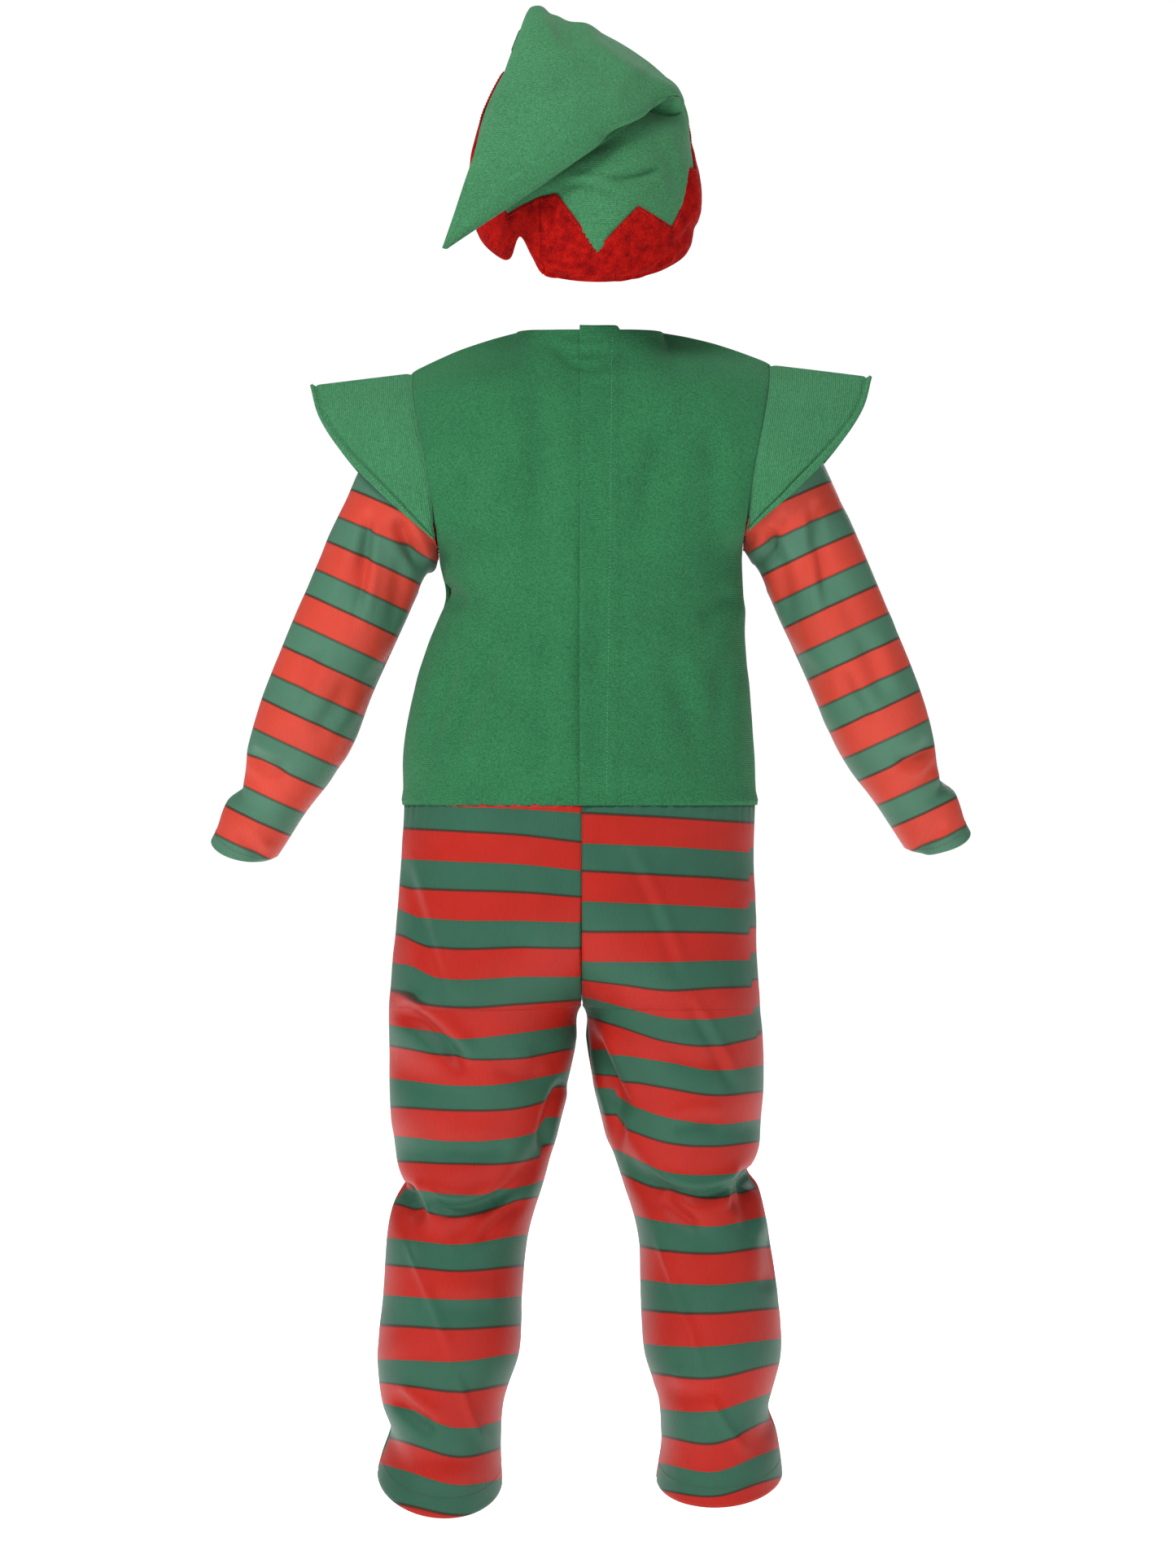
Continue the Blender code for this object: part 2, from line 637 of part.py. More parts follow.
def make_bodice(collection):
    """A front, two backs and the placket that covers the opening."""
    rows = np.concatenate([BODICE_TOP_ROWS, np.linspace(BODICE_REST[0], BODICE_ROWS, BODICE_REST[1])])
    edge = 1 - HALF_SEAM / BODICE_HALF_WIDTH
    edges = np.full(rows.shape, edge)
    under_placket = across_at(BACK, PLACKET_RIGHT_X + SEAM, rows)
    placket_edge = across_at(BACK, PLACKET_LEFT_X, rows)
    right_end = across_at(BACK, PLACKET_RIGHT_X, rows)
    lap = across_at(BACK, PLACKET_RIGHT_X - PLACKET_LAP, rows)
    front_lines = np.linspace(-edges, edges, FRONT_LINES)
    underlap = np.linspace(under_placket, placket_edge, UNDERLAP_LINES)
    left_lines = np.concatenate([underlap, np.linspace(placket_edge, edges, BACK_LEFT_LINES)[1:]])
    right_lines = np.linspace(-edges, right_end, BACK_RIGHT_LINES)
    placket_lines = np.linspace(lap, placket_edge, PLACKET_LINES)
    front, back = partial(bodice, FRONT), partial(bodice, BACK)
    in_front, behind = partial(own_side, FRONT), partial(own_side, BACK)
    for name, sheet, across, facing, thickness, keep in (
        ("bodice_front", front, front_lines, -1, BODICE_WALL, in_front),
        ("bodice_back_left", back, left_lines, 1, BODICE_WALL, behind),
        ("bodice_back_right", back, right_lines, 1, BODICE_WALL, behind),
        ("back_placket", placket_sheet, placket_lines, 1, PLACKET_WALL, None),
    ):
        wall(name, sheet, across, rows, facing, thickness, BODICE_STEPS, "green_fleece", collection, keep)


def make_arms(collection):
    """A sleeve and the wing over it, on each side."""
    rib, out = grid(np.linspace(-WING_RIBS, WING_RIBS, WING_LINES), np.linspace(0, 1, WING_ROWS))
    turns = np.linspace(-180, 180, SLEEVE_LINES + 1)[:-1]
    turn, row = grid(turns, np.linspace(0, SLEEVE_ROWS, SLEEVE_ROW_COUNT))
    for side, name in ((LEFT, "left"), (RIGHT, "right")):
        cap = partial(wing, side)
        tube = partial(sleeve, side)
        wall(f"wing_{name}", cap, rib, out, -side, WING_WALL, WING_STEPS, "green_fleece", collection)
        made = partial(wall, f"sleeve_{name}", tube, turn, row, -side, SATIN_WALL, SLEEVE_STEPS)
        made("striped_satin", collection, ring=True)


def brim_sheet(turn, row):
    """The brim stands a little way off the crown."""
    return hat(turn, row) + BRIM_STANDS_OFF * outward(hat, turn, row, *HAT_STEPS)


def make_hat(collection):
    """Two long panels sewn into a cone, and the zigzag brim round its rim."""
    for first, name in ((0, "back"), (180, "front")):
        seam_turn = np.linspace(first, first + 180, CROWN_LINES)[:, None]
        turn = np.clip(seam_turn, first + CROWN_HALF_GAP_TURN, first + 180 - CROWN_HALF_GAP_TURN)
        low = brim_edge_row(turn) + CROWN_ABOVE_BRIM_EDGE
        row = low + (HAT_ROWS - low) * np.linspace(0, 1, CROWN_ROWS)
        made = partial(wall, f"hat_{name}", hat, turn, row, 1, HAT_WALL, HAT_STEPS)
        made("green_fleece", collection, seam_u=seam_turn)

    corners = ZIGZAG["turn"]
    shares = np.arange(BRIM_LINES_PER_EDGE) / BRIM_LINES_PER_EDGE
    lines = (corners[:-1, None] + np.diff(corners)[:, None] * shares).ravel()
    notch = 360 + BRIM_NOTCH_TURN + BRIM_NOTCH_WIDTH * np.array([-1, 0, 1])
    turns = np.unique(np.concatenate([lines, notch, corners[-1:]]))
    turns = np.clip(turns, corners[0] + BRIM_HALF_GAP_TURN, corners[-1] - BRIM_HALF_GAP_TURN)
    low = brim_edge_row(turns)[:, None]
    top = np.interp(turns, corners, ZIGZAG["row"])[:, None]
    row = low + (top - low) * np.linspace(0, 1, BRIM_ROWS)
    wall("hat_brim", brim_sheet, turns[:, None], row, 1, BRIM_WALL, HAT_STEPS, "red_velvet", collection)


def main():
    for old in list(bpy.data.objects):
        bpy.data.objects.remove(old, do_unlink=True)
    collection = bpy.data.collections.new("elf_costume")
    bpy.context.scene.collection.children.link(collection)
    make_trousers(collection)
    make_bodice(collection)
    make_arms(collection)
    make_hat(collection)


main()
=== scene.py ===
"""The looks of a child's elf costume, seen as it hangs on its wearer: an all-in-one with a green bodice, pointed
shoulder wings, striped sleeves and trousers, and a long pointed hat with a zigzag brim.

The file is laid out as a Blender add-on with one operator for each piece or pair of pieces. Sizes are in
millimetres and are turned to metres when a mesh is made. +Z is up and the front faces -Y. Every cloth is a sheet
worked out by the same function as its solid, with its folds pressed in, and Solidify gives it a thickness.
"""

from functools import partial

import bpy
import numpy as np
from bpy.props import FloatProperty, FloatVectorProperty, PointerProperty
from bpy.types import Operator, Panel, PropertyGroup
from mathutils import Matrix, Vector


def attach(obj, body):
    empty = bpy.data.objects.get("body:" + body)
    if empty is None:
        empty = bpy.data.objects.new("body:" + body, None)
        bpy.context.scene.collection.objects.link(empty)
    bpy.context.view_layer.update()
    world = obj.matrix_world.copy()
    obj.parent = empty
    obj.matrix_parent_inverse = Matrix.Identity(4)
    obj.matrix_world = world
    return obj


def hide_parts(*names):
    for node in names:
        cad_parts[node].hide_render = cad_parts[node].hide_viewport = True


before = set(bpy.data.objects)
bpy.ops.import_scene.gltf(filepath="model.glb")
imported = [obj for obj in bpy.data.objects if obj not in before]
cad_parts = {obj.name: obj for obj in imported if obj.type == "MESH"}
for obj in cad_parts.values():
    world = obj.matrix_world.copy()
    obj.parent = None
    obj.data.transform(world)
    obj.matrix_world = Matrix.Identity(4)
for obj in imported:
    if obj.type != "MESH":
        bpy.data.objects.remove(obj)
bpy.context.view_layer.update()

bl_info = {
    "name": "Elf costume",
    "version": (1, 0, 0),
    "blender": (4, 5, 0),
    "location": "3D View > Sidebar > Elf costume",
    "description": "Makes the cloth, stitching and stage of an elf costume seen from behind",
    "category": "Object",
}

MM = 0.001
LEFT = 1
RIGHT = -1
BACK = 1
FRONT = -1
SIDES = ((LEFT, "left"), (RIGHT, "right"))
SEAM = 0.3
HALF_SEAM = SEAM / 2
RIGHT_ARM_OUT = 14.0
RIGHT_ARM_UP = 6.5


def table(names, *rows):
    """A small table as a dictionary from column name to an array, one entry for each row."""
    return {name: np.array(column, float) for name, column in zip(names.split(), zip(*rows))}


def between(start, end, start_slope, end_slope, t):
    """The smooth curve from start to end that leaves and arrives at these slopes, read at t from 0 to 1."""
    return (
        (2 * t**3 - 3 * t**2 + 1) * start
        + (t**3 - 2 * t**2 + t) * start_slope
        + (3 * t**2 - 2 * t**3) * end
        + (t**3 - t**2) * end_slope
    )


def curve(knots, values, at):
    """A smooth curve through the values at the knots, read at any place. It runs on straight past its ends."""
    slopes = np.gradient(values, knots)
    at = np.asarray(at, float)
    i = np.clip(np.searchsorted(knots, at, side="right") - 1, 0, len(knots) - 2)
    step = knots[i + 1] - knots[i]
    t = (at - knots[i]) / step
    inside = np.clip(t, 0, 1)
    on_curve = between(values[i], values[i + 1], step * slopes[i], step * slopes[i + 1], inside)
    past_end = np.where(t > 1, slopes[i + 1], slopes[i])
    return on_curve + (t - inside) * step * past_end


def ease(t):
    """0 below 0, 1 above 1, and a soft step between."""
    t = np.clip(t, 0, 1)
    return t * t * (3 - 2 * t)


def mix(a, b, t):
    return a + (b - a) * t

FOLD_END_DEPTH = 0.5


def creases(folds, turn, height, mm_per_degree, mm_per_height=1.0):
    """How far the cloth sinks at each turn and height. A fold is a stroke from one place to another."""
    sunk = np.zeros(np.broadcast(turn, height).shape)
    for turn0, height0, turn1, height1, depth, width in zip(*folds.values()):
        run = np.array([(turn1 - turn0) * mm_per_degree, (height1 - height0) * mm_per_height])
        away_turn = (turn - turn0) * mm_per_degree
        away_height = (height - height0) * mm_per_height
        along = np.clip((away_turn * run[0] + away_height * run[1]) / (run @ run), 0, 1)
        gap = np.hypot(away_turn - along * run[0], away_height - along * run[1])
        deep = mix(FOLD_END_DEPTH, 1.0, np.sin(np.pi * along))
        sunk = sunk + depth * deep * np.exp(-((gap / width) ** 2))
    return sunk

# Trousers.
# Each row is a level ring of one leg: its outer edge, its inner edge, and how far it reaches back and forward.
# Above the crotch the inner edge lies past the middle, and the ring stops where it meets the other leg.
WAIST_Z = -364.0
CROTCH_Z = -519.0
HEM_Z = -876.0
LEG_COLUMNS = "z outer inner back front"
LEG = {
    LEFT: table(
        LEG_COLUMNS,
        (-364, 136, -130, 92, 95),
        (-410, 139, -124, 95, 94),
        (-450, 142, -98, 96, 90),
        (-470, 144, -70, 94, 87),
        (-490, 146, -38, 91, 85),
        (-505, 147, -14, 88, 83),
        (-519, 148, 0.3, 84, 81),
        (-545, 148, 4, 80, 78),
        (-600, 147, 16, 74, 74),
        (-650, 143, 28, 68, 68),
        (-690, 149, 40, 66, 64),
        (-745, 153, 46, 68, 58),
        (-785, 157, 48, 68, 56),
        (-822, 154, 60, 66, 56),
        (-845, 150, 62, 64, 58),
        (-876, 157, 61, 66, 62),
    ),
    RIGHT: table(
        LEG_COLUMNS,
        (-364, 133, -133, 92, 95),
        (-410, 132, -128, 95, 94),
        (-450, 134, -104, 96, 90),
        (-470, 134, -74, 94, 87),
        (-490, 135, -40, 91, 85),
        (-505, 136, -15, 88, 83),
        (-519, 137, 0.3, 84, 81),
        (-545, 139, 3, 80, 78),
        (-600, 139, 14, 74, 74),
        (-650, 136, 30, 68, 68),
        (-690, 143, 42, 66, 64),
        (-745, 151, 45, 68, 58),
        (-785, 153, 48, 68, 56),
        (-822, 146, 59, 66, 56),
        (-845, 150, 61, 64, 58),
        (-876, 154, 57, 66, 62),
    ),
}
# The hem dips behind, over the heel, and on the inner side.
HEM_DIP_BACK = {LEFT: 22.0, RIGHT: 15.0}
HEM_DIP_INNER = {LEFT: 8.0, RIGHT: 6.0}
HEM_DIP_STARTS = -800.0

LEG_MM_PER_DEGREE = 1.15
# Turn 0 is the outer side, 90 the back, 180 the inner side and -90 the front.
FOLD_COLUMNS = "turn0 height0 turn1 height1 depth width"
LEG_FOLDS = {
    LEFT: table(
        FOLD_COLUMNS,
        (-25, -646, 30, -664, 9, 11),
        (30, -664, 62, -688, 6, 12),
        (150, -628, 118, -668, 6, 14),
        (118, -668, 84, -692, 7, 15),
        (22, -560, 74, -580, 4, 15),
        (12, -626, 92, -622, 3, 13),
        (-20, -838, 60, -846, 4, 13),
        (-150, -650, -60, -664, 5, 14),
        (-140, -840, -50, -836, 4, 14),
    ),
    RIGHT: table(
        FOLD_COLUMNS,
        (-25, -638, 26, -652, 9, 11),
        (26, -652, 48, -684, 7, 12),
        (152, -632, 124, -664, 6, 14),
        (124, -664, 96, -686, 6, 14),
        (160, -546, 122, -598, 5, 14),
        (5, -606, 70, -608, 3, 13),
        (-20, -828, 50, -836, 4, 13),
        (-150, -645, -60, -660, 5, 14),
        (-140, -838, -50, -834, 4, 14),
    ),
}


def leg(side, turn, height):
    """A point on one leg of the trousers, as x, y, z arrays. turn is in degrees."""
    rows = LEG[side]
    outer, inner, back, front = (
        curve(-rows["z"], rows[name], -height) for name in ("outer", "inner", "back", "front")
    )
    angle = np.radians(turn)
    reach = np.where(np.sin(angle) >= 0, back, front)
    sunk = creases(LEG_FOLDS[side], turn, height, LEG_MM_PER_DEGREE)
    across = (outer - inner) / 2 - sunk
    x = (outer + inner) / 2 + across * np.cos(angle)
    y = (reach - sunk) * np.sin(angle)
    near_hem = ease((HEM_DIP_STARTS - height) / (HEM_DIP_STARTS - HEM_Z))
    dip = HEM_DIP_BACK[side] * np.sin(angle) + HEM_DIP_INNER[side] * (1 - np.cos(angle)) / 2
    return np.stack([side * x, y, height - near_hem * dip], -1)


def last_turn(side, height):
    """The turn at which a ring meets the middle of the seat: 180 below the crotch, less above it."""
    rows = LEG[side]
    outer, inner = (curve(-rows["z"], rows[name], -height) for name in ("outer", "inner"))
    centre, across = (outer + inner) / 2, (outer - inner) / 2
    return np.degrees(np.arccos(np.clip(-(centre - HALF_SEAM) / across, -1, 1)))

# Bodice.
# Each row is a line across one face of the bodice, from the middle to the armhole or side seam.
# turn is how far round the line has curved when it ends: 90 at a side seam, less at an armhole.
BODICE_COLUMNS = "row mid_y mid_z left_x right_x edge_y left_z right_z turn"
BODICE = {
    BACK: table(
        BODICE_COLUMNS,
        (1, 63, -42, 129.5, 143.5, 24, -52, -45.5, 55),
        (2, 77, -88, 122, 136, 50, -92, -85.5, 48),
        (3, 83, -128, 115, 129, 58, -128, -121.5, 45),
        (4, 84, -158, 111, 125, 44, -160, -153.5, 62),
        (5, 83, -182, 109, 123, 0, -180, -173.5, 90),
        (6, 81, -208, 105, 124, 0, -207, -205, 90),
        (7, 82, -242, 118, 125.5, 0, -241, -241, 90),
        (8, 85, -280, 129, 129, 0, -278, -280, 90),
        (9, 89, -325, 137, 132.5, 0, -322, -326, 90),
        (10, 92, -363.7, 137, 134, 0, -363.7, -363.7, 90),
    ),
    FRONT: table(
        BODICE_COLUMNS,
        (1, 64, -66, 129.5, 143.5, 24, -52, -45.5, 55),
        (2, 75, -98, 122, 136, 50, -92, -85.5, 48),
        (3, 82, -130, 115, 129, 54, -128, -121.5, 48),
        (4, 85, -158, 111, 125, 42, -160, -153.5, 62),
        (5, 87, -182, 109, 123, 0, -180, -173.5, 90),
        (6, 89, -208, 105, 124, 0, -207, -205, 90),
        (7, 92, -242, 118, 125.5, 0, -241, -241, 90),
        (8, 96, -280, 129, 129, 0, -278, -280, 90),
        (9, 98, -325, 137, 132.5, 0, -322, -326, 90),
        (10, 95, -363.7, 137, 134, 0, -363.7, -363.7, 90),
    ),
}
BODICE_ROWS = 10
NECK_MIDDLE_X = -6.0
NECK_HALF_WIDTH = 56.0
NECK_DEPTH = {BACK: 50.0, FRONT: 52.0}
NECK_Z = {BACK: -5.0, FRONT: -40.0}
NECK_SIDE_Z = -2.5
SHOULDER_TIP = {LEFT: (131.0, -33.0), RIGHT: (145.0, -26.5)}
SHOULDER_RISE = 3.0
NECK_SHARE = 0.42

PLACKET_RIGHT_X = -26.5
PLACKET_LEFT_X = 1.5
PLACKET_LAP = 6.0
PLACKET_TAB = 3.0
PLACKET_TAB_ROWS = 0.6
BODICE_HALF_WIDTH = 120.0


def neck_and_shoulder(across, face):
    """The bodice's top edge: round the neck, then along the shoulder seam to its tip."""
    side = np.where(across >= 0, LEFT, RIGHT)
    share = np.abs(across)
    round_neck = np.clip(share / NECK_SHARE, 0, 1) * np.pi / 2
    along = np.maximum(share - NECK_SHARE, 0) / (1 - NECK_SHARE)
    tip_x = np.where(side == LEFT, SHOULDER_TIP[LEFT][0], SHOULDER_TIP[RIGHT][0])
    tip_z = np.where(side == LEFT, SHOULDER_TIP[LEFT][1], SHOULDER_TIP[RIGHT][1])
    neck_x = NECK_MIDDLE_X + side * NECK_HALF_WIDTH * np.sin(round_neck)
    x = mix(neck_x, side * tip_x, along)
    y = face * (NECK_DEPTH[face] * np.cos(round_neck) + HALF_SEAM)
    z_neck = mix(NECK_Z[face], NECK_SIDE_Z, np.sin(round_neck) ** 2)
    z = mix(z_neck, tip_z, along) + SHOULDER_RISE * np.sin(np.pi * along)
    return x, y, z


def bodice_line(across, face, index):
    """Points along one row of the bodice table. across runs from -1, the right edge, to 1, the left edge."""
    rows = {name: column[index] for name, column in BODICE[face].items()}
    on_left = across >= 0
    edge_x = np.where(on_left, rows["left_x"], -rows["right_x"])
    edge_z = np.where(on_left, rows["left_z"], rows["right_z"])
    middle_x = NECK_MIDDLE_X * max(0.0, 1 - rows["row"] / BODICE_ROWS)
    end = np.radians(rows["turn"])
    swing = np.abs(across) * end
    x = middle_x + (edge_x - middle_x) * np.sin(swing) / np.sin(end)
    bow = (np.cos(swing) - np.cos(end)) / (1 - np.cos(end))
    y = face * (rows["edge_y"] + HALF_SEAM + (rows["mid_y"] - rows["edge_y"]) * bow)
    z = mix(rows["mid_z"], edge_z, across**2)
    return x, y, z


def bodice(face, across, row):
    """A point on the front or back of the bodice. row runs from 0, the neck, to 10, the waist."""
    across, row = np.broadcast_arrays(np.asarray(across, float), np.asarray(row, float))
    lines = [neck_and_shoulder(across, face)]
    lines += [bodice_line(across, face, i) for i in range(BODICE_ROWS)]
    points = np.array(lines)
    slopes = np.gradient(points, axis=0)
    i = np.clip(row.astype(int), 0, len(lines) - 2)
    place = tuple(np.indices(row.shape))
    made = [
        between(
            points[(i, axis) + place],
            points[(i + 1, axis) + place],
            slopes[(i, axis) + place],
            slopes[(i + 1, axis) + place],
            row - i,
        )
        for axis in range(3)
    ]
    return np.stack(made, -1)


HALVINGS = 30


def across_at(face, x, row):
    """The across value at which the bodice is at this x, found by halving."""
    row = np.asarray(row, float)
    low, high = np.full(row.shape, -1.0), np.full(row.shape, 1.0)
    for _ in range(HALVINGS):
        middle = (low + high) / 2
        below = bodice(face, middle, row)[..., 0] < x
        low, high = np.where(below, middle, low), np.where(below, high, middle)
    return (low + high) / 2

# Arms.
# A rib is a place on the armhole seam. turn is the place on the sleeve's head that meets it.
ARMHOLE = table("rib turn", (0, 0), (1, 28), (2, 62), (3, 90), (4, 125), (5, 180))


def armhole(side, rib):
    """A point on the seam round the arm. rib is 0 at the shoulder, 5 under the arm and negative in front."""
    rib = np.asarray(rib, float)
    behind = bodice(BACK, side, np.abs(rib))
    in_front = bodice(FRONT, side, np.abs(rib))
    return np.where(rib[..., None] >= 0, behind, in_front)


def arm_place(side, x, y, z):
    """Moves points worked out for the left arm to either arm."""
    out, up = (RIGHT_ARM_OUT, RIGHT_ARM_UP) if side == RIGHT else (0.0, 0.0)
    return np.stack([side * (x + out), y, z + up], -1)

# Shoulder wings.
# Each row is a rib of the back half, from the armhole seam to this end on the wing's free edge.
WING = table(
    "rib x y z",
    (0, 209, 0, -42),
    (1, 200, 24, -70),
    (2, 179, 44, -101),
    (3, 149, 55, -132),
    (4, 112, 47, -163),
)
WING_RIBS = 4
WING_BULGE = 2.0
WING_SEAM_GAP = 0.6


def wing(side, rib, out):
    """A point on a wing. rib runs from -4, in front, over the ridge to 4; out runs from the seam to the edge."""
    rib, out = np.broadcast_arrays(np.asarray(rib, float), np.asarray(out, float))
    x, y, z = (curve(WING["rib"], WING[name], np.abs(rib)) for name in "xyz")
    edge = arm_place(side, x, np.sign(rib) * y, z)
    seam = armhole(side, rib)
    seam[..., 0] += side * WING_SEAM_GAP
    point = mix(seam, edge, out[..., None])
    point[..., 1] += WING_BULGE * np.sin(np.pi * out) * rib / WING_RIBS
    return point

# Sleeves.
# Each row is a ring round the arm: its outer and inner points, its middle's y, its half depth, and how far
# the back of the ring slips down the arm, because the forearm reaches forward.
SLEEVE = table(
    "row outer_x outer_z inner_x inner_z mid_y depth slip",
    (0, 129, -39, 112.0, -177, 0, 53, 0),
    (1, 147, -56, 114, -182, 0, 51, 0),
    (2, 165, -92, 116.5, -186, 0, 48, 0),
    (3, 179, -126, 120, -191, -1, 45, 0),
    (4, 196, -162, 127, -205, -2, 42, 0),
    (5, 213, -202, 141, -236, -4, 41, 1),
    (6, 231, -244, 159, -275, -8, 40, 3),
    (7, 247, -284, 176, -315, -13, 39, 4),
    (8, 257, -318, 193, -345, -19, 34, 5),
    (9, 262, -346, 211, -368, -25, 29, 6),
    (10, 275, -362, 224, -387, -30, 28, 7),
    (11, 282, -381, 234, -402, -35, 27, 9),
    (12, 287, -391, 237, -404, -38, 27, 11),
)
SLEEVE_ROWS = 12
HEAD_ROWS = 3.0
HEAD_MIDDLE_Z = -107.0
HEAD_INSET = 2.9
HEAD_OUT = 0.9
ARM_DOWN = (0.42, -0.907)
SLEEVE_MM_PER_DEGREE = 0.7
SLEEVE_MM_PER_ROW = 34.0
# Turn 0 is the outer side, 90 the back and -90 the front; heights are in rows.
SLEEVE_FOLDS = table(
    FOLD_COLUMNS,
    (80, 3.0, 78, 6.0, 3, 8),
    (120, 3.4, 150, 5.0, 4, 9),
    (-15, 9.3, 60, 9.6, 4, 11),
    (170, 5.6, 130, 6.4, 3, 12),
    (-100, 3.2, -95, 6.0, 3, 9),
    (-150, 9.0, -70, 9.6, 3, 11),
)


def sleeve(side, turn, row):
    """A point on a sleeve. row runs from 0, the armhole, to 12, the hem."""
    turn, row = np.broadcast_arrays(np.asarray(turn, float), np.asarray(row, float))
    read = {name: curve(SLEEVE["row"], column, row) for name, column in SLEEVE.items()}
    angle = np.radians(turn)
    sunk = creases(SLEEVE_FOLDS, turn, row, SLEEVE_MM_PER_DEGREE, SLEEVE_MM_PER_ROW)
    half_x = (read["outer_x"] - read["inner_x"]) / 2
    half_z = (read["outer_z"] - read["inner_z"]) / 2
    shrink = 1 - sunk / np.hypot(half_x, half_z)
    x = (read["outer_x"] + read["inner_x"]) / 2 + half_x * np.cos(angle) * shrink
    z = (read["outer_z"] + read["inner_z"]) / 2 + half_z * np.cos(angle) * shrink
    slip = read["slip"] * np.sin(angle)
    y = read["mid_y"] + (read["depth"] - sunk) * np.sin(angle)
    arm = arm_place(side, x + slip * ARM_DOWN[0], y, z + slip * ARM_DOWN[1])
    rib = np.sign(turn) * curve(ARMHOLE["turn"], ARMHOLE["rib"], np.abs(turn))
    head = armhole(side, rib)
    head_z = HEAD_MIDDLE_Z + (RIGHT_ARM_UP if side == RIGHT else 0.0)
    inset = 1 - HEAD_INSET / np.hypot(head[..., 1], head[..., 2] - head_z)
    head[..., 0] += side * HEAD_OUT
    head[..., 1] *= inset
    head[..., 2] = head_z + (head[..., 2] - head_z) * inset
    return mix(head, arm, ease(row / HEAD_ROWS)[..., None])

# Hat.
# Each row is a ring of the long cone, from the rim, up round the head, over the crest and down to the tip.
# It is given by its left and right seam points and the middles of its front and back panels.
HAT = table(
    "row left_x left_y left_z right_x right_y right_z back_y back_z front_y front_z",
    (0, 80, 0, 80, -83, 0, 69, 88, 27, -92, 135),
    (1, 85.5, -2, 118, -90, 0, 100, 93, 80, -89, 178),
    (2, 76, -4, 160, -84, 0, 138, 91, 118, -66, 208),
    (3, 56, -2, 201, -82, 3, 158, 80, 148, -34, 225),
    (4, 46, 4, 232, -79, 8, 168, 57, 172, -2, 231),
    (5, 41, 16, 241, -77, 20, 173, 32, 177, 26, 224),
    (6, 46, 44, 224, -66, 48, 170, 49, 198, 68, 204),
    (7, 63.5, 82, 170, -22, 93, 134, 86, 152, 104, 156),
    (8, 85, 97, 108, 42, 103, 88, 95, 98, 109, 100),
    (9, 104.5, 90, 52, 100.5, 91, 51, 88, 51.5, 93, 51.5),
)
HAT_ROWS = 9
# The brim's lower edge rises behind the left ear. Turn 0 is the left side, 90 the back, 270 the front.
BRIM_NOTCH_TURN = 56.0
BRIM_NOTCH_WIDTH = 6.5
BRIM_NOTCH_ROWS = 0.45
CROWN_ABOVE_BRIM_EDGE = 0.22
BRIM_STANDS_OFF = 3.0
BRIM_HALF_GAP_TURN = 0.12
CROWN_HALF_GAP_TURN = 0.25
# The zigzag's corners, from the brim's seam behind the left ear round to the same seam.
ZIGZAG = table(
    "turn row",
    (68, 1.12),
    (76, 1.22),
    (96.5, 0.44),
    (117, 1.12),
    (139, 0.72),
    (160, 1.78),
    (172, 1.66),
    (198, 2.55),
    (222, 1.45),
    (246, 1.98),
    (270, 0.85),
    (294, 1.98),
    (318, 1.50),
    (341, 2.60),
    (368, 1.10),
    (390, 1.70),
    (408, 0.72),
    (428, 1.12),
)


def hat(turn, row):
    """A point on the cone. turn 0 is the left seam, 90 the back, 180 the right seam, 270 the front."""
    turn, row = np.broadcast_arrays(np.asarray(turn, float), np.asarray(row, float))
    read = {name: curve(HAT["row"], column, row) for name, column in HAT.items()}
    left = np.stack([read["left_x"], read["left_y"], read["left_z"]])
    right = np.stack([read["right_x"], read["right_y"], read["right_z"]])
    middle, half = (left + right) / 2, (left - right) / 2
    angle = np.radians(turn)
    at_back = np.sin(angle) >= 0
    bow_y = np.where(at_back, read["back_y"], read["front_y"]) - middle[1]
    bow_z = np.where(at_back, read["back_z"], read["front_z"]) - middle[2]
    size = np.abs(np.sin(angle))
    point = middle + half * np.cos(angle)
    point[1] += bow_y * size
    point[2] += bow_z * size
    return np.stack(list(point), -1)


def brim_edge_row(turn):
    """The row of the brim's lower edge, which rises in a notch behind the left ear."""
    turn = np.mod(np.asarray(turn, float), 360)
    return BRIM_NOTCH_ROWS * np.exp(-(((turn - BRIM_NOTCH_TURN) / BRIM_NOTCH_WIDTH) ** 2))

# Turning sheets into walls.
def outward(surface, u, v, u_step, v_step):
    """The sheet's own unit normals, from how its points move when u and v change a little."""
    along_u = surface(u + u_step, v) - surface(u - u_step, v)
    along_v = surface(u, v + v_step) - surface(u, v - v_step)
    normal = np.cross(along_u, along_v)
    return normal / np.linalg.norm(normal, axis=-1, keepdims=True)


# What the photograph's camera sees. It stands behind the costume, and a place nearer to it looks further out.
CAMERA_AWAY = 3400.0
CAMERA_X = -4.7
CAMERA_Z = -349.0
FRAME_TALL = 1204.4


def seen(points):
    """Where points appear from behind, as x and z on the upright plane through the costume's middle."""
    nearer = CAMERA_AWAY / (CAMERA_AWAY - points[..., 1])
    x = CAMERA_X + (points[..., 0] - CAMERA_X) * nearer
    z = CAMERA_Z + (points[..., 2] - CAMERA_Z) * nearer
    return x, z


# Folds that are finer than the solids' own.
# A stroke is a soft bend through three places. Its depth is a trough, or a ridge where it is below zero, and
# its lip is a ridge beside it, above a stroke that runs to the right or to the right of one that runs down.
STROKE_COLUMNS = "x0 z0 x1 z1 x2 z2 depth width lip"
STROKE_STEPS = 14
STROKE_FADE = 0.28
STROKE_REACH = 4.5
LIP_AWAY = 1.7


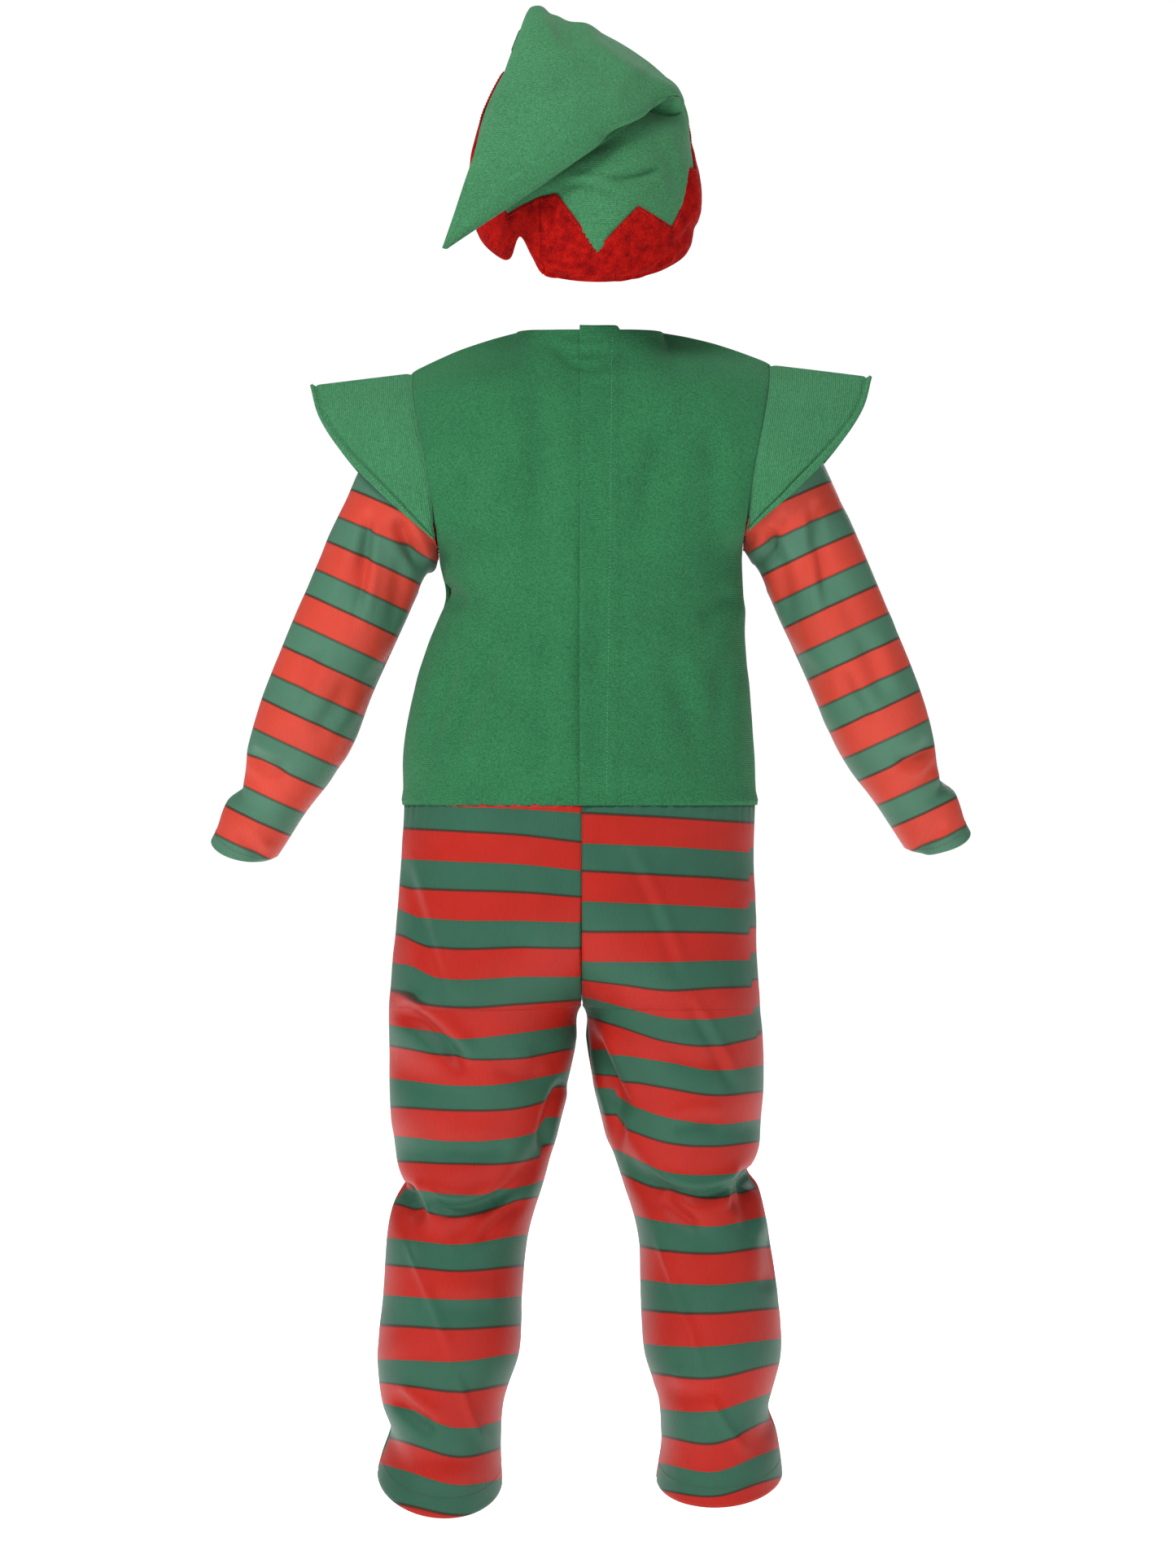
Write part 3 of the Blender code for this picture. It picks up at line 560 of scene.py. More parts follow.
def beside_stroke(x0, z0, x1, z1, x2, z2, x, z):
    """How far places are from a bend through three places, with a sign for the side, and how far along it."""
    t = np.linspace(0, 1, STROKE_STEPS)
    shares = np.array([(1 - t) * (1 - 2 * t), 4 * t * (1 - t), t * (2 * t - 1)])
    path_x, path_z = np.array([x0, x1, x2]) @ shares, np.array([z0, z1, z2]) @ shares
    nearest = np.full(np.shape(x), np.inf)
    gap, along = np.zeros(np.shape(x)), np.zeros(np.shape(x))
    for i in range(STROKE_STEPS - 1):
        run_x, run_z = path_x[i + 1] - path_x[i], path_z[i + 1] - path_z[i]
        away_x, away_z = x - path_x[i], z - path_z[i]
        on = np.clip((away_x * run_x + away_z * run_z) / (run_x**2 + run_z**2), 0, 1)
        far = np.hypot(away_x - on * run_x, away_z - on * run_z)
        side = np.where(run_z * away_x - run_x * away_z >= 0, 1.0, -1.0)
        closer = far < nearest
        nearest = np.where(closer, far, nearest)
        gap = np.where(closer, side * far, gap)
        along = np.where(closer, (i + on) / (STROKE_STEPS - 1), along)
    return gap, along


def pressed(strokes, x, z):
    """How far the cloth stands out at each place, from all the strokes together."""
    out = np.zeros(np.shape(x))
    for *places, depth, width, lip in zip(*strokes.values()):
        reach = STROKE_REACH * width
        xs, zs = places[0::2], places[1::2]
        near = (x > min(xs) - reach) & (x < max(xs) + reach) & (z > min(zs) - reach) & (z < max(zs) + reach)
        if not near.any():
            continue
        gap, along = beside_stroke(*places, x[near], z[near])
        fade = ease(along / STROKE_FADE) * ease((1 - along) / STROKE_FADE)
        trough = depth * np.exp(-((gap / width) ** 2))
        ridge = abs(lip) * np.exp(-((gap / width - np.sign(lip) * LIP_AWAY) ** 2))
        out[near] += fade * (ridge - trough)
    return out


SEAM_DIP = 1.0
SEAM_SOFT = 2.0
SEAM_TUCK = 3.0
HEM_TUCK = 2.2


def seam_dip(away):
    """A seam draws the cloth in a little on both of its sides."""
    return -SEAM_DIP * np.exp(-((away / SEAM_SOFT) ** 2))


def uneven(at, pitch, seed):
    """A wave that never quite repeats, from -1 to 1."""
    turn = 2 * np.pi * np.asarray(at, float) / pitch
    return (np.sin(turn + seed) + 0.6 * np.sin(1.73 * turn + 2.1 * seed) + 0.4 * np.sin(2.61 * turn)) / 2


def with_relief(surface, facing, steps, relief):
    """The surface with its folds. relief gives how far the cloth stands out at u, v and the bare point."""

    def shaped(u, v):
        u, v = np.broadcast_arrays(np.asarray(u, float), np.asarray(v, float))
        bare = surface(u, v)
        out = facing * outward(surface, u, v, *steps)
        return bare + out * relief(u, v, bare)[..., None]

    return shaped


LEG_STEPS = (0.3, 0.4)
BODICE_STEPS = (0.004, 0.02)
WING_STEPS = (0.02, 0.01)
SLEEVE_STEPS = (0.4, 0.02)
HAT_STEPS = (0.4, 0.015)


# Stripes.
# Each row is an edge between two stripes, as how far it looks below the shoulders at four places across the
# back of the leg. The first edge starts a green stripe, the next a red one, and so on down to the hem.
STRIPE_PLACES = "seat inner middle outer"
STRIPE_AWAY = {LEFT: np.array([9.4, 46.9, 96.9, 134.4]), RIGHT: np.array([28.1, 65.6, 103.1, 137.5])}
STRIPE_EDGES = {
    LEFT: table(
        STRIPE_PLACES,
        (371, 368.5, 366.5, 363.5),
        (392.5, 388, 385, 383),
        (415, 411, 409, 407),
        (435, 432, 430.5, 429),
        (455.5, 454.5, 454, 451),
        (475, 474.5, 475.5, 472.5),
        (497.5, 497.5, 499.5, 495.5),
        (515.5, 518, 520.5, 516),
        (535, 540.5, 544.5, 537),
        (552.5, 559.5, 559, 552),
        (569.5, 578, 581, 577),
        (587, 597.5, 599.5, 597.5),
        (608, 620, 624, 620.5),
        (627, 639, 640.5, 639),
        (647, 659, 664.5, 660),
        (661, 668, 682, 673),
        (692, 696, 703, 699.5),
        (715.5, 719, 723, 719.5),
        (740.5, 743, 745.5, 743),
        (762, 764.5, 767.5, 765.5),
        (781, 786, 793, 792),
        (802, 808, 815.5, 811),
        (827, 834.5, 844, 831),
        (845.5, 854.5, 866, 855),
        (872, 879.5, 887.5, 877),
        (897, 903, 910.5, 903),
    ),
    RIGHT: table(
        STRIPE_PLACES,
        (350.5, 352.5, 355, 357),
        (372.5, 374.5, 377, 379),
        (396, 397.5, 400, 402.5),
        (417, 419, 421, 424),
        (440.5, 442, 444, 445.5),
        (462.5, 462.5, 463, 464.5),
        (486, 486, 485, 484.5),
        (503, 507.5, 505.5, 504.5),
        (519.5, 529, 529.5, 525),
        (535, 547, 550, 543),
        (557, 563, 569.5, 565.5),
        (575.5, 582.5, 588, 585),
        (592.5, 605.5, 611, 607),
        (612, 624.5, 627, 623),
        (631, 647, 649.5, 644.5),
        (647, 663, 667, 658),
        (678, 686, 689, 682),
        (700.5, 707.5, 709.5, 705),
        (727, 732.5, 734, 730.5),
        (750.5, 754.5, 755.5, 752.5),
        (777, 781, 781, 777),
        (795.5, 803, 805, 797),
        (819, 830, 830.5, 819.5),
        (839.5, 850.5, 855.5, 840),
        (862.5, 872, 877.5, 864.5),
        (883, 892, 896, 885.5),
    ),
}
LEG_STRIPE = 21.8
FRONT_FIRST_STRIPE = -362.0
# Where the front panel laps round to the back, its stripes don't meet the back's. The lap lies to the right of
# its stroke where side is 1 and to the left where it is -1, and above is how much higher its stripes are.
LAP_COLUMNS = "x0 z0 x1 z1 x2 z2 side above soft"
STRIPE_LAPS = {
    LEFT: table(
        LAP_COLUMNS,
        (139, -403, 122, -457, 104, -520, -1, 7.5, 22),
        (10, -566, 24, -596, 33, -640, 1, 7.0, 1.2),
    ),
    RIGHT: table(
        LAP_COLUMNS,
        (-129, -390, -128.5, -470, -134, -548, 1, 5.5, 1.2),
        (-18, -572, -26, -603, -29, -622, -1, 7.0, 1.2),
    ),
}
LAP_FADES = 14.0


def leg_stripe(side, x, z):
    """How many stripe edges lie above a place on the back of a leg, as it looks from behind."""
    below = -z
    for *places, lap_side, above, soft in zip(*STRIPE_LAPS[side].values()):
        gap, _ = beside_stroke(*places, x, z)
        beside = ease((places[1] - z) / LAP_FADES) * ease((z - places[5]) / LAP_FADES)
        below = below + above * beside * ease(lap_side * gap / soft)
    across = np.clip(side * x, STRIPE_AWAY[side][0] - 25, STRIPE_AWAY[side][-1] + 20)
    named = np.array(list(STRIPE_EDGES[side].values()))
    edges = np.array([curve(STRIPE_AWAY[side], named[:, k], across) for k in range(named.shape[1])])
    k = np.clip((edges <= below).sum(0) - 1, 0, len(edges) - 2)
    place = tuple(np.indices(k.shape))
    first, last = edges[(k,) + place], edges[(k + 1,) + place]
    return k + (below - first) / (last - first)


SLEEVE_FIRST_GREEN = 209.7
SLEEVE_STRIPE_PAIR = 43.5
SLEEVE_GREEN_SHARE = 0.46


def sleeve_stripe(side, points):
    """How many stripe edges lie above a place on a sleeve. The stripes go straight across the arm."""
    x = side * points[..., 0] - (RIGHT_ARM_OUT if side == RIGHT else 0)
    z = points[..., 2] - (RIGHT_ARM_UP if side == RIGHT else 0)
    pair = (x * ARM_DOWN[0] + z * ARM_DOWN[1] - SLEEVE_FIRST_GREEN) / SLEEVE_STRIPE_PAIR
    whole = np.floor(pair)
    rest = pair - whole
    green = rest / SLEEVE_GREEN_SHARE
    red = 1 + (rest - SLEEVE_GREEN_SHARE) / (1 - SLEEVE_GREEN_SHARE)
    return 2 * whole + np.where(rest < SLEEVE_GREEN_SHARE, green, red)


# Making meshes.
def measured(points):
    """How far each point of a sheet's grid lies from its middle column and first row, along the cloth."""
    along_u = np.linalg.norm(np.diff(points, axis=0), axis=-1).cumsum(0)
    along_v = np.linalg.norm(np.diff(points, axis=1), axis=-1).cumsum(1)
    u = np.concatenate([np.zeros_like(along_u[:1]), along_u])
    v = np.concatenate([np.zeros_like(along_v[:, :1]), along_v], 1)
    return u - u[len(u) // 2], v


def turned_in(points, faces):
    """Whether the grid's own quads face against these directions."""
    i, j = points.shape[0] // 2, points.shape[1] // 2
    normal = np.cross(points[i + 1, j] - points[i, j], points[i, j + 1] - points[i, j])
    return normal @ faces[i, j] < 0


TUCK_STEPS = (0.35, 1.0)


def tucked(points, faces, stripe, tucks):
    """Turns a sheet's edges in, so that no gap shows at its seams and a hem looks turned.

    tucks says how far, in mm, at the first and last column and the first and last row.
    """
    for axis, deep in enumerate((tucks[:2], tucks[2:])):
        for end, mm in enumerate(deep):
            if not mm:
                continue
            edge, way = (np.take(grid_of, [0 if end == 0 else -1], axis) for grid_of in (points, faces))
            turned = [edge - way * mm * step for step in TUCK_STEPS]
            turned = np.concatenate(turned if end else turned[::-1], axis)
            ways = np.concatenate([way] * len(TUCK_STEPS), axis)
            order = (lambda old, new: (old, new)) if end else (lambda old, new: (new, old))
            points, faces = (np.concatenate(order(*pair), axis) for pair in ((points, turned), (faces, ways)))
            if stripe is not None:
                last = np.take(stripe, [0 if end == 0 else -1] * len(TUCK_STEPS), axis)
                stripe = np.concatenate(order(stripe, last), axis)
    return points, faces, stripe


def make_cloth(
    name, points, faces, cloth, thickness, node, stripe=None, ring=False, tucks=(0, 0, 0, 0)
):
    points, faces, stripe = tucked(points, faces, stripe, tucks)
    maps = {"cloth": np.stack(measured(points), -1) * MM}
    if stripe is not None:
        maps["stripes"] = np.stack([maps["cloth"][..., 0], stripe], -1)
    columns, rows = points.shape[:2]
    corner = np.arange(columns * rows).reshape(columns, rows)
    quads = np.stack([corner[:-1, :-1], corner[1:, :-1], corner[1:, 1:], corner[:-1, 1:]], -1).reshape(-1, 4)
    if turned_in(points, faces):
        quads = quads[:, ::-1]
    flat = points.reshape(-1, 3)
    if ring:
        flat = flat[:-rows]
    data = bpy.data.meshes.new(name)
    data.from_pydata((flat * MM).tolist(), [], (quads % len(flat)).tolist())
    for layer, values in maps.items():
        drawn = data.uv_layers.new(name=layer)
        drawn.data.foreach_set("uv", values.reshape(-1, 2)[quads.ravel()].astype(np.float32).ravel())
    data.shade_smooth()
    data.materials.append(cloth)
    piece = bpy.data.objects.new(name, data)
    bpy.context.scene.collection.objects.link(piece)
    wall = piece.modifiers.new("thickness", "SOLIDIFY")
    wall.thickness = thickness * MM
    wall.offset = -1
    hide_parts(node)
    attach(piece, "root")
    return piece


def grid(u_values, v_values):
    return np.meshgrid(np.asarray(u_values, float), np.asarray(v_values, float), indexing="ij")


# Materials.
def linear(hex_colour):
    """An sRGB hex colour such as "3f7f54" as linear red, green, blue and alpha."""
    srgb = [int(hex_colour[i : i + 2], 16) / 255 for i in (0, 2, 4)]
    return (*[c / 12.92 if c <= 0.04045 else ((c + 0.055) / 1.055) ** 2.4 for c in srgb], 1.0)


def add(tree, kind, sockets=None, **settings):
    """Adds a node with its settings and links, and gives back its outputs."""
    made = tree.nodes.new(kind)
    for name, value in settings.items():
        setattr(made, name, value)
    for name, value in (sockets or {}).items():
        if isinstance(value, bpy.types.NodeSocket):
            tree.links.new(value, made.inputs[name])
        else:
            made.inputs[name].default_value = value
    return made.outputs


def new_material(name):
    """An empty material's tree."""
    made = bpy.data.materials.new(name)
    made.use_nodes = True
    made.node_tree.nodes.clear()
    return made, made.node_tree


# Thread and nap sizes. A knit's wales are 0.6 mm apart, which one pixel of the photograph can't show, so
# they are drawn about two pixels apart, at 1.4 mm.
WALE = 1.4
RIB = 1.6
NAP = 1.5


def waves(tree, layer, along, pitch, wander=0.0):
    """A wave along one axis of a map, one for each pitch in mm, as a value from 0 to 1."""
    where = add(tree, "ShaderNodeUVMap", uv_map=layer)["UV"]
    parts = add(tree, "ShaderNodeSeparateXYZ", {"Vector": where})
    turn = add(tree, "ShaderNodeMath", {0: parts[along], 1: 2 * np.pi / (pitch * MM)}, operation="MULTIPLY")[0]
    if wander:
        drift = add(tree, "ShaderNodeTexNoise", {"Vector": where, "Scale": 60.0, "Detail": 1.0})["Fac"]
        turn = add(tree, "ShaderNodeMath", {0: drift, 1: wander, 2: turn}, operation="MULTIPLY_ADD")[0]
    wave = add(tree, "ShaderNodeMath", {0: turn}, operation="SINE")[0]
    return add(tree, "ShaderNodeMath", {0: wave, 1: 0.5, 2: 0.5}, operation="MULTIPLY_ADD")[0]


def noise(tree, size, detail=2.0, stretch=(1, 1, 1), roughness=0.5):
    """Noise on Object coordinates whose grains are about this many mm across."""
    where = add(tree, "ShaderNodeTexCoord")["Object"]
    scaled = add(tree, "ShaderNodeMapping", {"Vector": where, "Scale": stretch})[0]
    sockets = {"Vector": scaled, "Scale": 1 / (size * MM), "Detail": detail, "Roughness": roughness}
    return add(tree, "ShaderNodeTexNoise", sockets)["Fac"]


def between_values(tree, value, low, high):
    """Maps 0 to 1 onto low to high."""
    return add(tree, "ShaderNodeMapRange", {"Value": value, "To Min": low, "To Max": high})[0]


def mixed(tree, share, first, second, blend="MIX"):
    """Two colours mixed, or one times the other."""
    made = tree.nodes.new("ShaderNodeMix")
    made.data_type, made.blend_type = "RGBA", blend
    for socket, value in ((made.inputs[0], share), (made.inputs[6], first), (made.inputs[7], second)):
        if isinstance(value, bpy.types.NodeSocket):
            tree.links.new(value, socket)
        else:
            socket.default_value = value
    return made.outputs[2]


def finish_cloth(tree, colour, height, height_mm, roughness, **sockets):
    """Ends a tree in a Principled surface with a bump this many mm high."""
    bump = add(tree, "ShaderNodeBump", {"Height": height, "Strength": 1.0, "Distance": height_mm * MM})[0]
    settings = {"Base Color": colour, "Normal": bump, "Roughness": roughness}
    settings.update({name.replace("_", " "): value for name, value in sockets.items()})
    surface = add(tree, "ShaderNodeBsdfPrincipled", settings)[0]
    add(tree, "ShaderNodeOutputMaterial", {"Surface": surface})


STRIPE_LINE = 1.7


def striped_knit(name, red, green, line_under_green, line_under_red):
    """Striped polyester satin knit, warp knitted and heat set: smooth, with a soft sheen along the folds.

    The stripes come from the stripes map, whose second value counts the edges from the top. A dark
    line lies on the edges where green changes to red, and a fainter one where red changes to green; on the
    trousers the fainter one is a painted shadow line.
    """
    made, tree = new_material(name)
    where = add(tree, "ShaderNodeUVMap", uv_map="stripes")["UV"]
    count = add(tree, "ShaderNodeSeparateXYZ", {"Vector": where})[1]
    half = add(tree, "ShaderNodeMath", {0: count, 1: 0.5}, operation="MULTIPLY")[0]
    pair = add(tree, "ShaderNodeMath", {0: half}, operation="FRACT")[0]
    is_red = add(tree, "ShaderNodeMapRange", {"Value": pair, "From Min": 0.494, "From Max": 0.506})[0]
    is_red = add(
        tree,
        "ShaderNodeMath",
        {0: is_red, 1: add(tree, "ShaderNodeMapRange", {"Value": pair, "From Min": 1.0, "From Max": 0.988})[0]},
        operation="MULTIPLY",
    )[0]
    base = mixed(tree, is_red, green, red)
    half_line = STRIPE_LINE / LEG_STRIPE / 4
    # The lines' dark colour. The fainter line, under the red, is painted shade on the trousers.
    for edge, strength in ((0.5, line_under_green), (0.0, line_under_red), (1.0, line_under_red)):
        away = add(tree, "ShaderNodeMath", {0: pair, 1: edge}, operation="SUBTRACT")[0]
        away = add(tree, "ShaderNodeMath", {0: away}, operation="ABSOLUTE")[0]
        limits = {"Value": away, "From Min": half_line * 1.7, "From Max": half_line * 0.6, "To Max": strength}
        on_line = add(tree, "ShaderNodeMapRange", limits)[0]
        base = mixed(tree, on_line, base, linear("2a2119"))
    patches = between_values(tree, noise(tree, 45.0, 3.0), 0.82, 1.14)
    base = mixed(tree, 1.0, base, patches, "MULTIPLY")
    wales = waves(tree, "cloth", 0, WALE)
    base = mixed(tree, 1.0, base, between_values(tree, wales, 0.95, 1.03), "MULTIPLY")
    sheen = {"Sheen_Weight": 0.06, "Sheen_Roughness": 0.35, "Specular_IOR_Level": 0.2}
    finish_cloth(tree, base, wales, 0.10, 0.45, **sheen)
    return made


def brushed_knit(name, base, ribs_along, rib, rib_height):
    """Polyester knit with a brushed face: matt, with a short nap that catches light at its edges."""
    made, tree = new_material(name)
    nap = noise(tree, NAP, 3.0, roughness=0.65)
    ribs = waves(tree, "cloth", ribs_along, rib, wander=2.0)
    patches = between_values(tree, noise(tree, 30.0, 3.0), 0.86, 1.12)
    colour = mixed(tree, 1.0, base, patches, "MULTIPLY")
    colour = mixed(tree, 1.0, colour, between_values(tree, nap, 0.25, 1.75), "MULTIPLY")
    colour = mixed(tree, 1.0, colour, between_values(tree, ribs, 0.84, 1.08), "MULTIPLY")
    height = add(tree, "ShaderNodeMath", {0: nap, 1: 0.8, 2: ribs}, operation="MULTIPLY_ADD")[0]
    sheen = {"Sheen_Weight": 0.08, "Sheen_Roughness": 0.5, "Specular_IOR_Level": 0.1}
    finish_cloth(tree, colour, height, rib_height, 0.9, **sheen)
    return made


def crushed_velvet(name, deep, bright):
    """Crushed polyester velvet: its pile leans many ways in small patches, with painted shade and painted sheen."""
    made, tree = new_material(name)
    # This noise mixes painted shade and painted sheen in patches of leaning pile, and also raises the bump.
    lean_and_sheen = noise(tree, 8.0, 6.0, roughness=0.78)
    lean_and_sheen = add(tree, "ShaderNodeMapRange", {"Value": lean_and_sheen, "From Min": 0.34, "From Max": 0.66})[0]
    grain = noise(tree, 1.0, 2.0, roughness=0.7)
    colour = mixed(tree, lean_and_sheen, deep, bright)
    colour = mixed(tree, 1.0, colour, between_values(tree, grain, 0.6, 1.45), "MULTIPLY")
    height = add(tree, "ShaderNodeMath", {0: lean_and_sheen, 1: 1.5, 2: grain}, operation="MULTIPLY_ADD")[0]
    sheen = {"Sheen_Weight": 0.3, "Sheen_Roughness": 0.35, "Sheen_Tint": linear("e81408"), "Specular_IOR_Level": 0.04}
    finish_cloth(tree, colour, height, 0.35, 0.75, **sheen)
    return made


def spun_thread(name, base):
    """Spun polyester sewing thread: a slight shine, and a little lighter and darker along its length."""
    made, tree = new_material(name)
    twist = noise(tree, 0.8, 1.0)
    colour = mixed(tree, 1.0, base, between_values(tree, twist, 0.85, 1.15), "MULTIPLY")
    finish_cloth(tree, colour, twist, 0.05, 0.55)
    return made


# What a user may change.
class ElfCostumeSizes(PropertyGroup):
    """Sizes of the cloth and its stitching."""

    knit_thickness: FloatProperty(name="Knit", description="Thickness of the cloth", default=0.9 * MM, unit="LENGTH")
    velvet_thickness: FloatProperty(name="Velvet", description="Thickness of the brim", default=1.5 * MM, unit="LENGTH")
    stitch_pitch: FloatProperty(name="Stitch", description="Distance between stitches", default=2.6 * MM, unit="LENGTH")
    thread: FloatProperty(name="Thread", description="Thickness of the thread", default=0.45 * MM, unit="LENGTH")


def colour_property(label, words, hex_colour):
    """A colour that a user may change, from its sRGB hex value."""
    return FloatVectorProperty(
        name=label, description=words, subtype="COLOR", size=4, min=0, max=1, default=linear(hex_colour)
    )


class ElfCostumeColours(PropertyGroup):
    """Colours of the cloth."""

    bodice: colour_property("Bodice", "Green of the bodice", "2e7048")
    wings: colour_property("Wings", "Green of the shoulder wings", "3f7f57")
    hat: colour_property("Hat", "Green of the hat", "3f7d54")
    leg_red: colour_property("Leg red", "Red stripes of the trousers", "ad2015")
    leg_green: colour_property("Leg green", "Green stripes of the trousers", "2e5d49")
    # The sleeves' red and green are the trousers' satin painted lighter: painted light that the sleeves catch.
    sleeve_red_painted_lit: colour_property("Sleeve red", "Red stripes of the sleeves", "c94232")
    sleeve_green_painted_lit: colour_property("Sleeve green", "Green stripes of the sleeves", "49765f")
    # The velvet's two colours are painted shade and painted sheen of the crushed pile.
    velvet_painted_shade: colour_property("Velvet, deep", "Velvet where the pile leans away", "74080d")
    velvet_painted_sheen: colour_property("Velvet, bright", "Velvet where the pile catches light", "bc180f")
    floor: colour_property("Floor", "Pale floor under the costume", "f8f8f8")



def lay(surface, facing, steps, relief, u, v):
    """The points of a sheet's grid and the directions in which it faces."""
    return with_relief(surface, facing, steps, relief)(u, v), facing * outward(surface, u, v, *steps)


# Trousers.
# Folds on the backs of the legs, where they look to be from behind.
LEG_STROKES = {
    LEFT: table(
        STROKE_COLUMNS,
        (148, -520, 114, -541, 88, -575, 8.5, 7, 3.8),
        (139, -400, 122, -457, 103, -522, 1.6, 5, 1.4),
        (12, -573, 25, -600, 33, -637, 4.6, 4, 2.2),
        (136, -654, 130, -670, 120, -687, 6.0, 5, 1.7),
        (131, -658, 92, -676, 44, -651, 6.0, 5, 2.7),
        (110, -628, 82, -631, 50, -626, 2.7, 8, 1.4),
        (84, -704, 62, -684, 40, -664, 3.6, 5, 1.4),
        (139, -690, 118, -740, 97, -797, -2.4, 3.4, 0.0),
        (97, -797, 86, -832, 70, -860, -2.4, 3.4, 0.0),
        (150, -813, 130, -833, 108, -846, 6.0, 6, 2.0),
        (70, -560, 48, -572, 26, -566, 2.7, 8, 1.0),
        (120, -745, 90, -752, 64, -744, 1.7, 9, 0.8),
        (40, -392, 52, -440, 47, -492, 1.7, 12, 1.0),
        (88, -860, 108, -868, 132, -862, 2.0, 8, 1.0),
    ),
    RIGHT: table(
        STROKE_COLUMNS,
        (-26, -386, -56, -450, -76, -508, 1.6, 4.5, 1.6),
        (-76, -508, -102, -554, -117, -588, 2.2, 4.0, 1.8),
        (-2, -528, -21, -573, -38, -605, 6.0, 6, 3.0),
        (-16, -566, -26, -600, -30, -634, 4.6, 4, -2.2),
        (-42, -643, -86, -666, -130, -648, 6.0, 5, 2.7),
        (-66, -617, -88, -609, -108, -612, 2.7, 6, 1.4),
        (-130, -641, -122, -660, -116, -682, 4.4, 5, -1.2),
        (-58, -664, -74, -679, -92, -692, 3.0, 5, 1.2),
        (-54, -689, -76, -746, -97, -814, -2.4, 3.4, 0.0),
        (-97, -814, -110, -840, -130, -867, -2.4, 3.4, 0.0),
        (-60, -552, -86, -563, -112, -560, 2.4, 9, 1.0),
        (-58, -806, -80, -818, -110, -812, 2.4, 8, 1.4),
        (-136, -690, -146, -716, -138, -742, 2.7, 8, 1.0),
    ),
}
# Similar folds on the fronts, where the wearer's own side sees them.
LEG_FRONT_STROKES = {
    LEFT: table(
        STROKE_COLUMNS,
        (128, -540, 96, -566, 62, -574, 3.9, 8, 1.5),
        (30, -600, 62, -622, 100, -614, 2.7, 8, 1.2),
        (136, -648, 100, -668, 58, -660, 4.5, 7, 2.1),
        (60, -696, 88, -712, 116, -706, 2.4, 8, 1.2),
        (84, -400, 90, -520, 92, -640, -1.4, 3, 0.0),
        (96, -690, 102, -770, 104, -850, -1.5, 3, 0.0),
        (142, -800, 112, -826, 80, -832, 4.2, 7, 1.8),
    ),
    RIGHT: table(
        STROKE_COLUMNS,
        (-120, -532, -92, -556, -54, -570, 3.9, 8, 1.5),
        (-40, -590, -68, -612, -98, -604, 2.7, 8, 1.2),
        (-134, -640, -98, -662, -56, -652, 4.5, 7, 2.1),
        (-64, -690, -90, -704, -120, -696, 2.4, 8, 1.2),
        (-80, -404, -86, -520, -90, -634, -1.4, 3, 0.0),
        (-94, -684, -100, -764, -104, -846, -1.5, 3, 0.0),
        (-140, -806, -108, -822, -76, -836, 4.2, 7, 1.8),
    ),
}
GATHER = 0.8
GATHER_PITCH = 7.5
GATHER_FADES = 9.0
RIPPLE = 0.45


def gather(along, from_seam, seed):
    """Small uneven puckers beside a gathered seam."""
    return GATHER * uneven(along, GATHER_PITCH, seed) * np.exp(-from_seam / GATHER_FADES)


def ripples(x, z, seed):
    """The slight unevenness of cloth that hangs free."""
    return RIPPLE * uneven(x + 0.5 * z, 57, seed) * uneven(z - 0.3 * x, 71, seed + 1.3)


# No fold runs over the side seam.
SIDE_FADES = 16.0


def leg_relief(side, turn, height, bare):
    """Folds, seams and the gathered waist of one leg."""
    behind = turn > 0
    x, z = seen(bare)
    x, z = np.where(behind, x, bare[..., 0]), np.where(behind, z, bare[..., 2])
    out = np.where(behind, pressed(LEG_STROKES[side], x, z), pressed(LEG_FRONT_STROKES[side], x, z))
    out = out * ease(np.abs(turn) * LEG_MM_PER_DEGREE / SIDE_FADES)
    out = out + seam_dip(np.abs(turn) * LEG_MM_PER_DEGREE)
    out = out + seam_dip((last_turn(side, height) - np.abs(turn)) * LEG_MM_PER_DEGREE)
    out = out + gather(turn * LEG_MM_PER_DEGREE, WAIST_Z - height, side + 2)
    return out + ripples(x, z, side + np.where(behind, 0.0, 2.0)) * ease((WAIST_Z - height) / 30)


TROUSER_LINES = 90
SEAT_ROWS = 70
SEAT_CROWDS_TO_CROTCH = 1.3
LEG_ROWS = 160
HEM_STITCH_UP = 13.0


def trouser_heights():
    seat = CROTCH_Z + (WAIST_Z - SEAM - CROTCH_Z) * np.linspace(1, 0, SEAT_ROWS) ** SEAT_CROWDS_TO_CROTCH
    return np.concatenate([seat, np.linspace(CROTCH_Z, HEM_Z, LEG_ROWS)[1:]])


MIDDLE_GAP = 0.05


def close_middle(side, face, points, faces, height):
    """Above the crotch, brings a panel's last column to the middle, where its edge turns straight in."""
    share = ease((height - CROTCH_Z) / 6)
    points[-1, :, 0] = mix(points[-1, :, 0], side * MIDDLE_GAP, share)
    faces[-1] = mix(faces[-1], np.array([0.0, face, 0.0]), share[:, None])


def make_trousers(cloth, thickness):
    """Four panels of striped knit."""
    share, height = grid(np.linspace(0, 1, TROUSER_LINES), trouser_heights())
    gap_turn = HALF_SEAM / LEG_MM_PER_DEGREE
    for side, side_name in SIDES:
        end = last_turn(side, height) - gap_turn
        turn = gap_turn + (end - gap_turn) * share
        for face, face_name in ((BACK, "back"), (FRONT, "front")):
            panel, relief = partial(leg, side), partial(leg_relief, side)
            points, faces = lay(panel, side, LEG_STEPS, relief, face * turn, height)
            close_middle(side, face, points, faces, height[0])
            bare = panel(face * turn, height)
            if face == BACK:
                stripe = leg_stripe(side, *seen(bare))
            else:
                stripe = (FRONT_FIRST_STRIPE - bare[..., 2]) / LEG_STRIPE
            name = f"trouser_{face_name}_{side_name}"
            slot, tucks = "striped_satin", (SEAM_TUCK, SEAM_TUCK, SEAM_TUCK, HEM_TUCK)
            make_cloth(f"{name}_cloth", points, faces, cloth, thickness, name, stripe, tucks=tucks)


